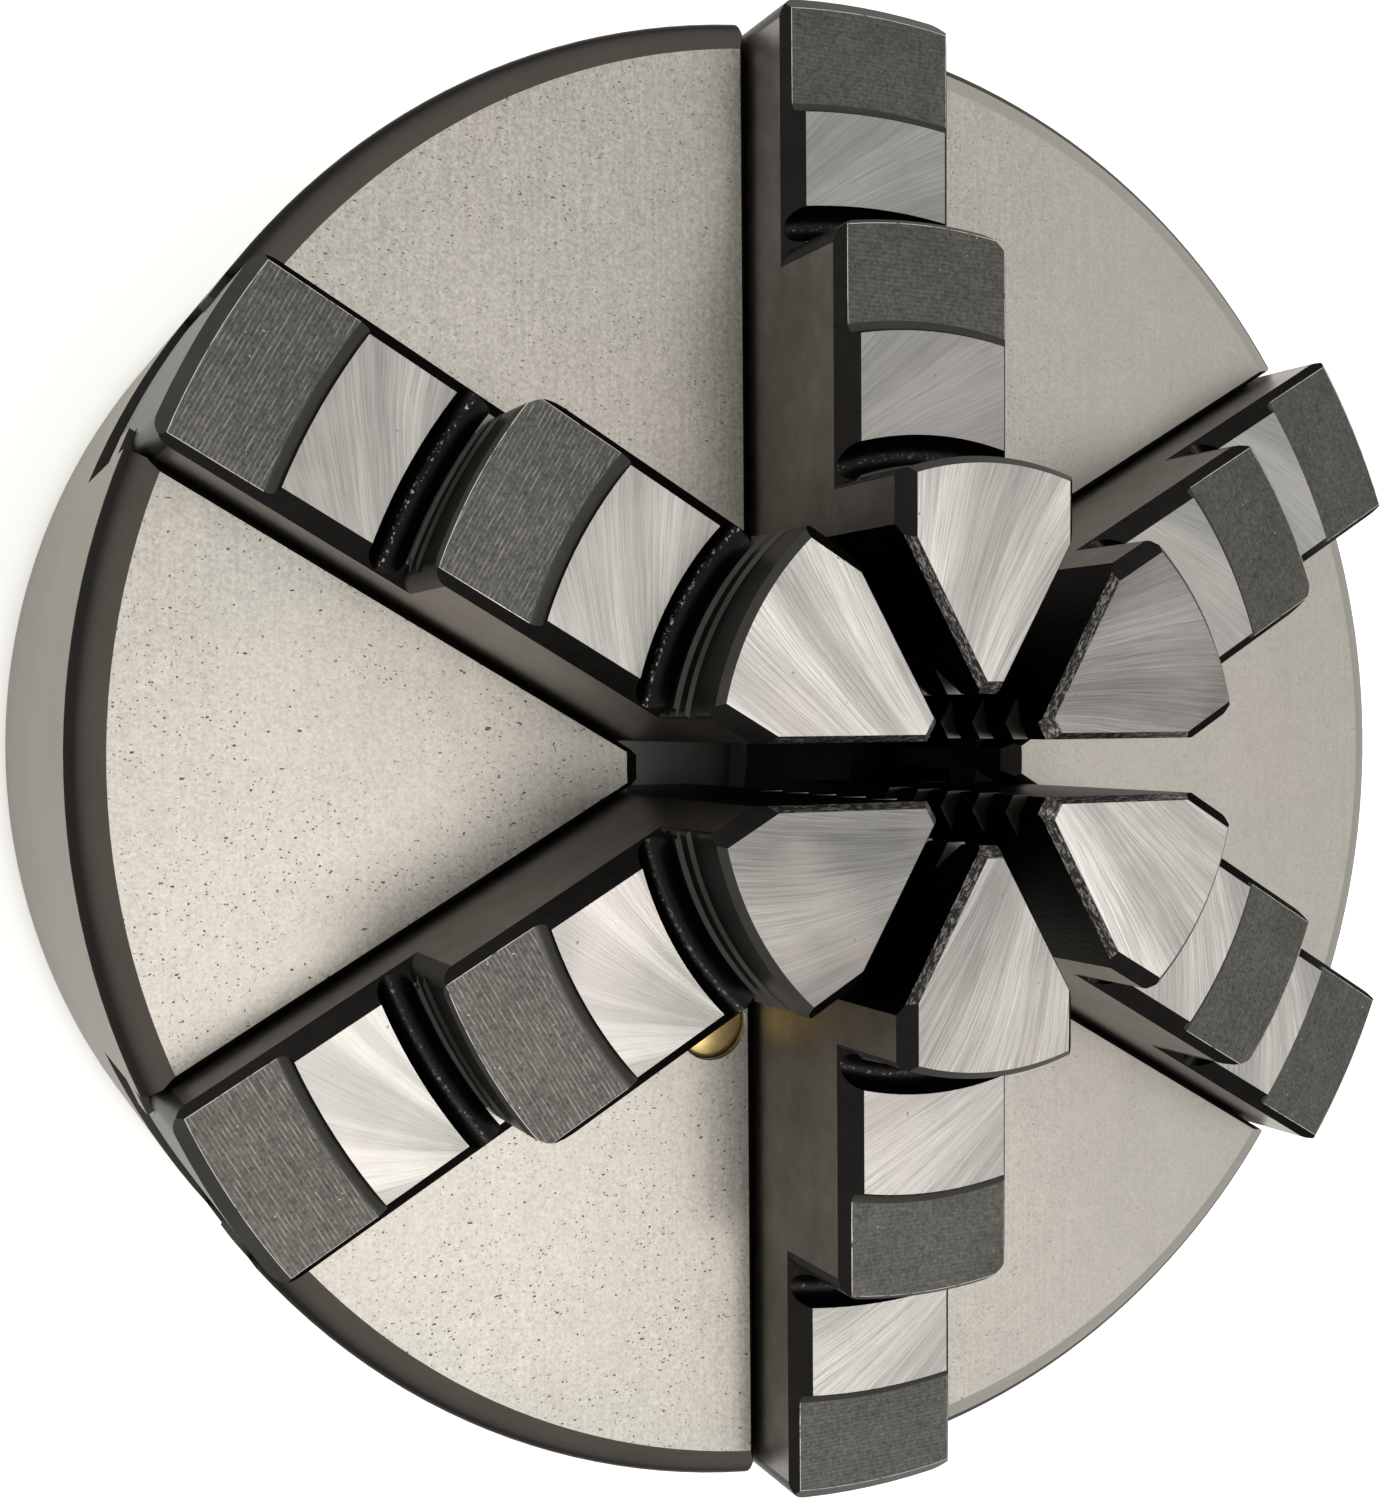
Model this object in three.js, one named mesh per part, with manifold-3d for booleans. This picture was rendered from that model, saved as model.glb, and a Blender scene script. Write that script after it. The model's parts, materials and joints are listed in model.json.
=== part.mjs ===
// Six-jaw self-centring scroll chuck, 125 mm, as it comes apart on a bench.
// Millimetres. Origin at the centre of the back face, +Z along the spindle axis towards the jaws,
// +Y towards jaw_1. Jaws follow one another every 60 degrees, pinions every 120 degrees from +X.
import * as THREE from "three";
import { mergeVertices } from "three/addons/utils/BufferGeometryUtils.js";
import Module from "manifold-3d";

const wasm = await Module();
wasm.setup();

// ---- Driving dimensions -------------------------------------------------------------------
const JAW_ANGLES = [90, 30, -30, -90, -150, 150];
const PINION_ANGLES = [0, 120, 240];
const BOLT_ANGLES = [60, 180, 300];
const SCREW_ANGLES = [30, 90, 150, 210, 270, 330];
const GAP = 0.3; // running clearance between pieces
const SEGMENTS = 60; // facets of a full turn

const BODY = {
  radius: 62.5,
  height: 58,
  boreRadius: 15,
  registerRadius: 47.5,
  registerDepth: 4,
  cavityRadius: 46.9,
  hubRadius: 23,
  frontBoreRadius: 18,
  frontBoreChamfer: 1.4,
  faceRadius: 59.8,
  backChamfer: 1,
};
const SHOULDER = [[0, 2.4], [0.55, 1.3], [1.5, 0.5]]; // rim points: inset from the side, drop from the face
const COVER = { back: BODY.registerDepth, front: 9.2, bossRadius: 29 };
const SLOT = { halfWidth: 8.15, tongueHalfWidth: 5.95, tongueLow: 48, tongueHigh: 52.5 };
const SCROLL = {
  outer: 46.5,
  inner: BODY.hubRadius + 0.4,
  hubOuter: 33.7,
  hubBack: 25.4,
  floor: 33.8,
  threadTop: 38.2,
  pitch: 8,
  threadWidth: 3.2,
};
const PLATE_BACK = SCROLL.threadTop + GAP; // underside of the body's front plate
const GEAR = {
  teeth: 48,
  pinionTeeth: 9,
  outer: 44,
  inner: 34,
  axisHeight: 19.8,
  pressureAngle: THREE.MathUtils.degToRad(25),
  backlash: 0.36,
  gearAddendum: 1,
  gearDedendum: 2.4,
  pinionAddendum: 1.9,
  pinionDedendum: 1.45,
};
const PINION = {
  shankStart: 44.4,
  shankEnd: 61.3,
  journalRadius: 3.5,
  journalEnd: 18.4,
  grooveStart: 52.2,
  grooveEnd: 55.8,
  grooveRadius: 8.1,
  socketSide: 8.2,
  socketDepth: 14,
};
const BOLT = { circle: 54, radius: 3.6, depth: 16 };
const RETAINER = { circle: 54, radius: 3, dogRadius: 1.5, back: 0.6, shoulder: 8.6, tip: 11.3 };
const COVER_SCREW = { circle: 19.4, headRadius: 3.5, shankRadius: 2, tip: 18, coneDepth: 1.7 };
const OIL_PLUG = { x: -11.9, y: -21.7, radius: 3, sink: 0.25, depth: 8 };
const JAW = {
  halfWidth: 7.85,
  noseRadius: 5.7,
  noseHalfWidth: 0.75,
  base: PLATE_BACK,
  neckHalfWidth: SLOT.tongueHalfWidth - GAP,
  toothTip: SCROLL.floor + GAP,
  end: 61,
  closing: 4, // travel towards the axis from the pose drawn here
  opening: 14,
};
// Steps of a jaw, from the nose outwards: radius of the outward wall, land, edge and pad.
const STEPS = [
  { wall: 22.66, top: 83, landHalf: 6.68, chamferDepth: 1.6 },
  { wall: 42.08, top: 74.4, landHalf: 6.48, chamferDepth: 1.9, padFrom: 33.8, padDrop: 0.9 },
  { wall: JAW.end, top: 65.6, landHalf: 6.48, chamferDepth: 1.9, padFrom: 52.6, padDrop: 1 },
];
const COVE = { width: 3.2, radius: 1.75 };
const NOSE_GROOVE = { first: 77.5, pitch: 4.8, count: 5, size: 2 };

const STEEL = {
  ground: { color: 0xbcb7ab, metalness: 1, roughness: 0.38 },
  turned: { color: 0x9b9a8a, metalness: 1, roughness: 0.42 },
  blackened: { color: 0x3a3936, metalness: 1, roughness: 0.5 },
  hardened: { color: 0x6d6b66, metalness: 1, roughness: 0.4 },
  screw: { color: 0x2c2c2d, metalness: 1, roughness: 0.45 },
  brass: { color: 0xc9a55a, metalness: 1, roughness: 0.35 },
};

// ---- Solids -------------------------------------------------------------------------------
// A closed three.js geometry as a manifold solid, with its faces turned outwards.
function solid(geometry) {
  const bare = new THREE.BufferGeometry().setAttribute("position", geometry.getAttribute("position"));
  if (geometry.index) bare.setIndex(geometry.index);
  const merged = mergeVertices(bare, 1e-4);
  const p = merged.attributes.position.array;
  const kept = [];
  let volume = 0;
  for (let i = 0; i < merged.index.count; i += 3) {
    const [a, b, c] = [0, 1, 2].map((k) => merged.index.array[i + k]);
    if (a === b || b === c || c === a) continue;
    kept.push(a, b, c);
    const [u, v, w] = [a, b, c].map((k) => new THREE.Vector3().fromArray(p, 3 * k));
    volume += u.dot(v.cross(w));
  }
  if (volume < 0) kept.reverse();
  const mesh = new wasm.Mesh({ numProp: 3, vertProperties: p, triVerts: new Uint32Array(kept) });
  return new wasm.Manifold(mesh);
}

function geometryOf(shape) {
  const mesh = shape.getMesh();
  const positions = new Float32Array(mesh.numVert * 3);
  for (let i = 0; i < mesh.numVert; i++) {
    positions.set(mesh.vertProperties.subarray(i * mesh.numProp, i * mesh.numProp + 3), i * 3);
  }
  const geometry = new THREE.BufferGeometry();
  geometry.setAttribute("position", new THREE.BufferAttribute(positions, 3));
  geometry.setIndex(new THREE.BufferAttribute(mesh.triVerts, 1));
  return geometry;
}

// A profile of [radius, height] pairs turned about the spindle axis; it is closed if it must be.
function turned(profile, segments = SEGMENTS) {
  const points = profile.map(([r, z]) => new THREE.Vector2(r, z));
  const [first, last] = [points[0], points.at(-1)];
  if (first.x > 0 || last.x > 0) points.push(first.clone());
  return solid(new THREE.LatheGeometry(points, segments).rotateX(Math.PI / 2));
}

function ring(inner, outer, low, high) {
  return turned([[inner, low], [outer, low], [outer, high], [inner, high]]);
}

// An outline in the XY plane, raised from one height to another.
function raised(outline, low, high) {
  const shape = new THREE.Shape(outline.map(([x, y]) => new THREE.Vector2(x, y)));
  const geometry = new THREE.ExtrudeGeometry(shape, { depth: high - low, bevelEnabled: false });
  return solid(geometry.translate(0, 0, low));
}

// A box from its least to its greatest corner.
function box(low, high) {
  const size = high.map((h, i) => h - low[i]);
  const middle = high.map((h, i) => (h + low[i]) / 2);
  return solid(new THREE.BoxGeometry(...size).translate(...middle));
}

// A round bar along +Z at (x, y), with its end radii.
function bar(x, y, low, high, radiusLow, radiusHigh = radiusLow, segments = 12) {
  const geometry = new THREE.CylinderGeometry(radiusHigh, radiusLow, high - low, segments);
  return solid(geometry.rotateX(Math.PI / 2).translate(x, y, (high + low) / 2));
}

// A round bar along +X at the pinions' height.
function radialBar(start, end, radius, segments = 24) {
  const geometry = new THREE.CylinderGeometry(radius, radius, end - start, segments);
  return solid(geometry.rotateZ(Math.PI / 2).translate((start + end) / 2, 0, GEAR.axisHeight));
}

const turnedTo = (shape, degrees) => shape.rotate([0, 0, degrees]);
const polar = (radius, degrees) => {
  const angle = THREE.MathUtils.degToRad(degrees);
  return [radius * Math.cos(angle), radius * Math.sin(angle)];
};

// ---- Body ---------------------------------------------------------------------------------
function jawSlot() {
  const { halfWidth: w, tongueHalfWidth: t, tongueLow, tongueHigh } = SLOT;
  const reach = BODY.radius + 5;
  return box([0, -w, SCROLL.floor], [reach, w, tongueLow])
    .add(box([0, -t, tongueLow - 1], [reach, t, tongueHigh + 1]))
    .add(box([0, -w, tongueHigh], [reach, w, BODY.height + 5]));
}

function makeBody() {
  const b = BODY;
  let body = turned([
    [b.boreRadius, COVER.front + GAP],
    [b.hubRadius, COVER.front + GAP],
    [b.hubRadius, PLATE_BACK],
    [b.cavityRadius, PLATE_BACK],
    [b.cavityRadius, COVER.front + GAP],
    [b.registerRadius, COVER.front + GAP],
    [b.registerRadius, 0],
    [b.radius - b.backChamfer, 0],
    [b.radius, b.backChamfer],
    ...SHOULDER.map(([inset, drop]) => [b.radius - inset, b.height - drop]),
    [b.faceRadius, b.height],
    [b.frontBoreRadius + b.frontBoreChamfer, b.height],
    [b.frontBoreRadius, b.height - b.frontBoreChamfer],
    [b.frontBoreRadius, SCROLL.floor],
    [b.boreRadius, SCROLL.floor],
  ]);
  for (const angle of JAW_ANGLES) body = body.subtract(turnedTo(jawSlot(), angle));
  const pinionRadius = pinionOuterRadius() + GAP;
  for (const angle of PINION_ANGLES) {
    body = body.subtract(turnedTo(radialBar(b.cavityRadius - 2, b.radius + 3, pinionRadius), angle));
    const journalHole = radialBar(PINION.journalEnd - GAP, b.hubRadius + 1, PINION.journalRadius + GAP, 16);
    body = body.subtract(turnedTo(journalHole, angle));
    const [x, y] = polar(RETAINER.circle, angle);
    body = body.subtract(bar(x, y, -1, RETAINER.shoulder + GAP, RETAINER.radius + GAP));
    body = body.subtract(bar(x, y, 1, RETAINER.tip + 2, RETAINER.dogRadius + GAP));
  }
  for (const angle of BOLT_ANGLES) {
    const [x, y] = polar(BOLT.circle, angle);
    body = body.subtract(bar(x, y, -1, BOLT.depth, BOLT.radius));
  }
  for (const angle of SCREW_ANGLES) {
    const [x, y] = polar(COVER_SCREW.circle, angle);
    const hole = bar(x, y, COVER.back, COVER_SCREW.tip + GAP, COVER_SCREW.shankRadius + GAP);
    body = body.subtract(hole);
  }
  const { x, y, radius, depth } = OIL_PLUG;
  return body.subtract(bar(x, y, b.height - depth - GAP, b.height + 1, radius + GAP));
}

// ---- Scroll plate -------------------------------------------------------------------------
// Centre line of the thread: its radius grows by one pitch in each turn.
const SPIRAL_START = 20;
const spiralRadius = (angle) => SPIRAL_START + (SCROLL.pitch * angle) / (2 * Math.PI);

function makeThread() {
  const turns = (SCROLL.outer + SCROLL.pitch - SPIRAL_START) / SCROLL.pitch;
  const perTurn = 48;
  const steps = Math.ceil(turns * perTurn);
  const side = (offset) =>
    Array.from({ length: steps + 1 }, (_, i) => {
      const angle = (i / perTurn) * 2 * Math.PI;
      const r = spiralRadius(angle) + offset;
      return [r * Math.cos(angle), r * Math.sin(angle)];
    });
  const outline = [...side(SCROLL.threadWidth / 2), ...side(-SCROLL.threadWidth / 2).reverse()];
  return raised(outline, SCROLL.floor - 1, SCROLL.threadTop)
    .intersect(ring(SCROLL.inner, SCROLL.outer, SCROLL.floor - 1, SCROLL.threadTop + 1));
}

const gearPitch = (radius) => GEAR.axisHeight + (radius * GEAR.pinionTeeth) / GEAR.teeth;
const toothWidth = (Math.PI * GEAR.outer) / GEAR.teeth - GEAR.backlash; // at the pitch line, outer end

// A solid between two like polygons in planes across +X, given as [x, [[y, z], ...]].
function loft([xa, a], [xb, b]) {
  const flat = a.map(([y, z]) => new THREE.Vector2(y, z));
  if (THREE.ShapeUtils.isClockWise(flat)) return loft([xa, a.toReversed()], [xb, b.toReversed()]);
  const n = a.length;
  const points = [...a.map(([y, z]) => [xa, y, z]), ...b.map(([y, z]) => [xb, y, z])];
  const faces = THREE.ShapeUtils.triangulateShape(flat, []);
  const index = faces.flatMap(([i, j, k]) => [k, j, i, i + n, j + n, k + n]);
  for (let i = 0; i < n; i++) {
    const j = (i + 1) % n;
    index.push(i, j, j + n, i, j + n, i + n);
  }
  const geometry = new THREE.BufferGeometry();
  geometry.setAttribute("position", new THREE.Float32BufferAttribute(points.flat(), 3));
  geometry.setIndex(index);
  return solid(geometry);
}

// A section at the gear's outer radius, shrunk towards the point where the two axes cross.
function shrunk(section, radius) {
  const s = radius / GEAR.outer;
  return [radius, section.map(([y, z]) => [y * s, GEAR.axisHeight + (z - GEAR.axisHeight) * s])];
}

function gearTooth() {
  const pitchLine = gearPitch(GEAR.outer);
  const half = (height) => toothWidth / 2 + height * Math.tan(GEAR.pressureAngle);
  const root = GEAR.gearDedendum + 0.8;
  const section = [
    [-half(-GEAR.gearAddendum), pitchLine - GEAR.gearAddendum],
    [half(-GEAR.gearAddendum), pitchLine - GEAR.gearAddendum],
    [half(root), pitchLine + root],
    [-half(root), pitchLine + root],
  ];
  return loft(shrunk(section, SCROLL.hubOuter - 0.5), shrunk(section, GEAR.outer));
}

function makeScroll() {
  const rootAt = (radius) => gearPitch(radius) + (GEAR.gearDedendum * radius) / GEAR.outer;
  let scroll = turned([
    [SCROLL.inner, SCROLL.hubBack],
    [SCROLL.hubOuter, SCROLL.hubBack],
    [SCROLL.hubOuter, rootAt(SCROLL.hubOuter)],
    [GEAR.outer, rootAt(GEAR.outer)],
    [SCROLL.outer, rootAt(GEAR.outer)],
    [SCROLL.outer, SCROLL.floor],
    [SCROLL.inner, SCROLL.floor],
  ]).add(makeThread());
  const tooth = gearTooth();
  for (let i = 0; i < GEAR.teeth; i++) {
    scroll = scroll.add(turnedTo(tooth, ((i + 0.5) * 360) / GEAR.teeth));
  }
  return scroll;
}

// ---- Pinions ------------------------------------------------------------------------------
const pinionPitchRadius = (GEAR.outer * GEAR.pinionTeeth) / GEAR.teeth;
function pinionOuterRadius() {
  return pinionPitchRadius + GEAR.pinionAddendum;
}

// Section of the toothed end: involute flanks, with a tooth on +Z.
function pinionSection() {
  const base = pinionPitchRadius * Math.cos(GEAR.pressureAngle);
  const involute = (r) => {
    const a = Math.acos(Math.min(1, base / r));
    return Math.tan(a) - a;
  };
  const halfAtPitch = toothWidth / (2 * pinionPitchRadius);
  const halfAt = (r) => halfAtPitch + involute(pinionPitchRadius) - involute(Math.max(r, base));
  const root = pinionPitchRadius - GEAR.pinionDedendum;
  const radii = [root, base, pinionPitchRadius, pinionPitchRadius + 1, pinionOuterRadius()];
  const section = [];
  for (let i = 0; i < GEAR.pinionTeeth; i++) {
    const middle = Math.PI / 2 + (i * 2 * Math.PI) / GEAR.pinionTeeth;
    const flank = radii.map((r) => [r, halfAt(r)]);
    const around = [...flank.map(([r, h]) => [r, -h]), ...flank.reverse()];
    for (const [r, h] of around) {
      section.push([r * Math.cos(middle + h), GEAR.axisHeight + r * Math.sin(middle + h)]);
    }
  }
  return section;
}

function makePinion() {
  const section = pinionSection();
  const p = PINION;
  const socket = p.socketSide / 2;
  const axis = GEAR.axisHeight;
  return loft(shrunk(section, GEAR.inner), shrunk(section, p.shankStart + 0.2))
    .add(radialBar(p.shankStart, p.grooveStart, pinionOuterRadius()))
    .add(radialBar(p.grooveStart - 1, p.grooveEnd + 1, p.grooveRadius))
    .add(radialBar(p.grooveEnd, p.shankEnd, pinionOuterRadius()))
    .add(radialBar(p.journalEnd, GEAR.inner + 1, p.journalRadius, 16))
    .subtract(
      box([p.shankEnd - p.socketDepth, -socket, axis - socket], [p.shankEnd + 1, socket, axis + socket]),
    );
}

// ---- Cover and small pieces ---------------------------------------------------------------
function makeCover() {
  const scrollBack = SCROLL.hubBack - GAP;
  let cover = turned([
    [BODY.boreRadius + GAP, COVER.back],
    [BODY.registerRadius - GAP, COVER.back],
    [BODY.registerRadius - GAP, COVER.front],
    [COVER.bossRadius, COVER.front],
    [COVER.bossRadius, scrollBack],
    [BODY.hubRadius + GAP, scrollBack],
    [BODY.hubRadius + GAP, COVER.front],
    [BODY.boreRadius + GAP, COVER.front],
  ]);
  for (const angle of PINION_ANGLES) {
    const hole = radialBar(BODY.hubRadius - 1, COVER.bossRadius + 1, PINION.journalRadius + GAP, 16);
    cover = cover.subtract(turnedTo(hole, angle));
  }
  const s = COVER_SCREW;
  for (const angle of SCREW_ANGLES) {
    const [x, y] = polar(s.circle, angle);
    cover = cover
      .subtract(bar(x, y, COVER.back - 1, COVER.front + 1, s.shankRadius + GAP))
      .subtract(bar(x, y, COVER.back, COVER.back + s.coneDepth, s.headRadius + GAP, s.shankRadius + GAP))
      .subtract(bar(x, y, COVER.back - 1, COVER.back, s.headRadius + GAP));
  }
  return cover;
}

function makeCoverScrew(angle) {
  const s = COVER_SCREW;
  const [x, y] = polar(s.circle, angle);
  const back = COVER.back + 0.25;
  return bar(x, y, back, back + s.coneDepth, s.headRadius, s.shankRadius)
    .add(bar(x, y, back + s.coneDepth - 0.5, s.tip, s.shankRadius))
    .subtract(bar(x, y, back - 1, back + 1.4, 1.4, undefined, 6));
}

function makeRetainer(angle) {
  const r = RETAINER;
  const [x, y] = polar(r.circle, angle);
  return bar(x, y, r.back, r.shoulder, r.radius)
    .add(bar(x, y, r.shoulder - 1, r.tip, r.dogRadius))
    .subtract(box([x - 5, y - 0.5, -1], [x + 5, y + 0.5, r.back + 1.3]));
}

function makeOilPlug() {
  const { x, y, radius, sink, depth } = OIL_PLUG;
  const top = BODY.height - sink;
  return bar(x, y, BODY.height - depth, top, radius)
    .subtract(bar(x, y, top - 0.8, top + 1, 1.1, 1.5));
}

// ---- Jaws ---------------------------------------------------------------------------------
// Plan of a jaw along +X: a 60 degree nose with a narrow flat, then parallel sides.
function jawPlan() {
  const { noseRadius: n, noseHalfWidth: h, halfWidth: w, end } = JAW;
  const shoulder = n + (w - h) / Math.tan(Math.PI / 6);
  return [[n, -h], [shoulder, -w], [end + 2, -w], [end + 2, w], [shoulder, w], [n, h]];
}

// One level of a jaw: a bar with chamfered long edges, turned to its step about the spindle axis.
function jawLevel(step) {
  const w = JAW.halfWidth;
  const section = [
    [-w, JAW.base],
    [w, JAW.base],
    [w, step.top - step.chamferDepth],
    [step.landHalf, step.top],
    [-step.landHalf, step.top],
    [-w, step.top - step.chamferDepth],
  ];
  const land = step.padFrom
    ? [[step.padFrom, step.top], [step.padFrom + 0.35, step.top - step.padDrop * 0.7],
       [step.padFrom + 1.1, step.top - step.padDrop]]
    : [];
  const edge = step.top - (step.padDrop || 0);
  const blank = turned([
    [0, JAW.base],
    [step.wall, JAW.base],
    [step.wall, edge - 0.6],
    [step.wall - 0.5, edge],
    ...land.reverse(),
    [0, step.top],
  ]);
  return loft([0, section], [JAW.end + 2, section]).intersect(blank);
}

// Relief at the foot of an outward wall: a round-bottomed groove that undercuts the wall a little.
function coveRing(wall, landTop) {
  const middle = wall + COVE.width - COVE.radius;
  const arc = Array.from({ length: 7 }, (_, i) => {
    const angle = Math.PI + (i / 6) * Math.PI;
    return [middle + COVE.radius * Math.cos(angle), landTop + COVE.radius * Math.sin(angle)];
  });
  return turned([[wall - 0.35, landTop + 4.6], [wall - 0.35, landTop + 1.2], ...arc,
    [wall + COVE.width, landTop + 1], [wall + 0.4, landTop + 5]]);
}

// A wedge that breaks the top edge between two points of the plan; inside lies to its left.
function edgeBreak([ax, ay], [bx, by], top, inset, drop) {
  const along = new THREE.Vector3(bx - ax, by - ay, 0);
  const length = along.length();
  along.normalize();
  const inward = new THREE.Vector3(-along.y, along.x, 0);
  const up = new THREE.Vector3(0, 0, 1);
  const out = 2;
  const section = [[inset, 0], [inset, 1], [-out, 1], [-out, -drop - (drop / inset) * out]];
  const wedge = loft([-1, section], [length + 1, section]);
  const place = new THREE.Matrix4().makeBasis(along, inward, up).setPosition(ax, ay, top);
  return wedge.transform(place.elements);
}

// Crescent teeth that stay clear of the thread wherever the jaw stands in its travel.
function jawTooth(middle) {
  const slope = SCROLL.pitch / (2 * Math.PI);
  const half = (SCROLL.pitch - SCROLL.threadWidth) / 2 - 0.35;
  const tightest = Math.max(SCROLL.inner, middle - JAW.closing);
  const flattest = Math.min(SCROLL.outer, middle + JAW.opening);
  const stations = Array.from({ length: 7 }, (_, i) => JAW.halfWidth * (i / 3 - 1));
  const outer = stations.map((v) => [middle + half - (v * v / 2 + slope * Math.abs(v)) / tightest, v]);
  const inner = stations.map((v) => {
    const sag = (v * v / 2 - slope * Math.abs(v)) / Math.max(flattest, tightest);
    return [middle - half - Math.max(0, sag), v];
  });
  return raised([...inner.reverse(), ...outer], JAW.toothTip, JAW.base + 1);
}

function makeJaw(degrees) {
  const plan = jawPlan();
  let jaw = STEPS.map(jawLevel).reduce((a, b) => a.add(b));
  const angle = THREE.MathUtils.degToRad((degrees + 360) % 360);
  const outermost = JAW.end - 3;
  for (let turn = -1; ; turn++) {
    const middle = spiralRadius(angle) + (turn + 0.5) * SCROLL.pitch;
    if (middle > outermost) break;
    if (middle > JAW.noseRadius + 6) jaw = jaw.add(jawTooth(middle));
  }
  jaw = jaw.intersect(raised(plan, JAW.toothTip - 1, STEPS[0].top + 1));
  for (let i = 0; i < 2; i++) jaw = jaw.subtract(coveRing(STEPS[i].wall, STEPS[i + 1].top));

  const { neckHalfWidth: neck, halfWidth: w } = JAW;
  const neckLow = SLOT.tongueLow - GAP;
  const neckHigh = SLOT.tongueHigh + GAP;
  jaw = jaw
    .subtract(box([0, neck, neckLow], [JAW.end + 2, w + 1, neckHigh]))
    .subtract(box([0, -w - 1, neckLow], [JAW.end + 2, -neck, neckHigh]));

  const top = STEPS[0].top;
  jaw = jaw
    .subtract(edgeBreak(plan[0], plan[1], top, 0.65, 1))
    .subtract(edgeBreak(plan[4], plan[5], top, 0.65, 1))
    .subtract(edgeBreak(plan[5], plan[0], top, 1.05, 1.2));
  const g = NOSE_GROOVE;
  for (let i = 0; i < g.count; i++) {
    const ledge = g.first - i * g.pitch;
    const reach = JAW.noseRadius + g.size;
    const notch = [[reach, ledge], [JAW.noseRadius - 1, ledge], [JAW.noseRadius - 1, ledge + g.size + 1]];
    const across = loft([-4, notch], [4, notch]).transform(
      new THREE.Matrix4().makeBasis(
        new THREE.Vector3(0, 1, 0), new THREE.Vector3(1, 0, 0), new THREE.Vector3(0, 0, 1),
      ).elements,
    );
    jaw = jaw.subtract(across);
  }
  return turnedTo(jaw, degrees);
}

// ---- Assembly -----------------------------------------------------------------------------
const chuck = new THREE.Group();

function place(name, shape, look) {
  const material = new THREE.MeshStandardMaterial({ ...look, flatShading: true });
  const mesh = new THREE.Mesh(geometryOf(shape), material);
  mesh.name = name;
  chuck.add(mesh);
}

place("chuck_body", makeBody(), STEEL.ground);
place("scroll_plate", makeScroll(), STEEL.hardened);
place("back_cover", makeCover(), STEEL.turned);
place("oil_plug", makeOilPlug(), STEEL.brass);
SCREW_ANGLES.forEach((angle, i) => place(`cover_screw_${i + 1}`, makeCoverScrew(angle), STEEL.screw));
PINION_ANGLES.forEach((angle, i) => {
  place(`pinion_${i + 1}`, turnedTo(makePinion(), angle), STEEL.hardened);
  place(`pinion_retainer_${i + 1}`, makeRetainer(angle), STEEL.screw);
});
JAW_ANGLES.forEach((angle, i) => place(`jaw_${i + 1}`, makeJaw(angle), STEEL.blackened));

export default chuck;
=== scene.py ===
import json
import math

import bmesh
import bpy
from mathutils import Euler, Matrix, Vector


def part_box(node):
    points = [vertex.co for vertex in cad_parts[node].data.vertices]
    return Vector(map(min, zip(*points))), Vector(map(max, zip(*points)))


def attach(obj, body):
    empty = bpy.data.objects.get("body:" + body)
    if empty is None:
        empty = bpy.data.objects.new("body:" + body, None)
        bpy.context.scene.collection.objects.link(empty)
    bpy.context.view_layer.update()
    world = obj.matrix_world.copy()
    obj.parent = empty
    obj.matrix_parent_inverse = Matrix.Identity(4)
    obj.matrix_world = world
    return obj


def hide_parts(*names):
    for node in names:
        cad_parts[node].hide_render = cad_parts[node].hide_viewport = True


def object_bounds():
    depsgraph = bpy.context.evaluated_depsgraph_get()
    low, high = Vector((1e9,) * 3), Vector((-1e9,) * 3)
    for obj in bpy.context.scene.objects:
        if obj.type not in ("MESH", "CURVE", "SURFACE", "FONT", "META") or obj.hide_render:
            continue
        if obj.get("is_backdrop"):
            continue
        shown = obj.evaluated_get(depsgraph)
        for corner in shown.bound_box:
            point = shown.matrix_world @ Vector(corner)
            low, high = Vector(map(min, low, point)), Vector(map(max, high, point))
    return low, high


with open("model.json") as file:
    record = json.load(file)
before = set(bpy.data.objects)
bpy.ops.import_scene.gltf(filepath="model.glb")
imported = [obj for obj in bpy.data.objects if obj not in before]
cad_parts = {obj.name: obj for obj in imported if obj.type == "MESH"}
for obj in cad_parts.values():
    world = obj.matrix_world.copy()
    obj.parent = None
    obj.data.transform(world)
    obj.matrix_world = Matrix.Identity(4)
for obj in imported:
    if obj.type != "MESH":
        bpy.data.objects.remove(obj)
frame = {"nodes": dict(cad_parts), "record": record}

# The pieces of a six-jaw scroll chuck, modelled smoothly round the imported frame, with their finishes.
# Lengths are millimetres until a mesh is made, and angles are degrees.
MM = 0.001


def box_mm(node):
    low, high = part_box(node)
    return low / MM, high / MM


def bearing(node):
    """Direction of a node from the spindle axis, to the nearest twelfth of a turn."""
    low, high = box_mm(node)
    return 30 * round(math.degrees(math.atan2(low.y + high.y, low.x + high.x)) / 30)


# ---- Dimensions ----
CAD_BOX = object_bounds()
RADIUS, HEIGHT = (round(size, 2) for size in box_mm("chuck_body")[1].xz)
JAW_TOP = round(box_mm("jaw_1")[1].z, 2)
NAMES = sorted(frame["nodes"])
JAWS = [name for name in NAMES if name.startswith("jaw_")]
PINIONS = [name for name in NAMES if name.startswith("pinion_") and "retainer" not in name]
RETAINERS = [name for name in NAMES if name.startswith("pinion_retainer_")]
COVER_SCREWS = [name for name in NAMES if name.startswith("cover_screw_")]
BOLT_ANGLES = (60, 180, 300)

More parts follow.
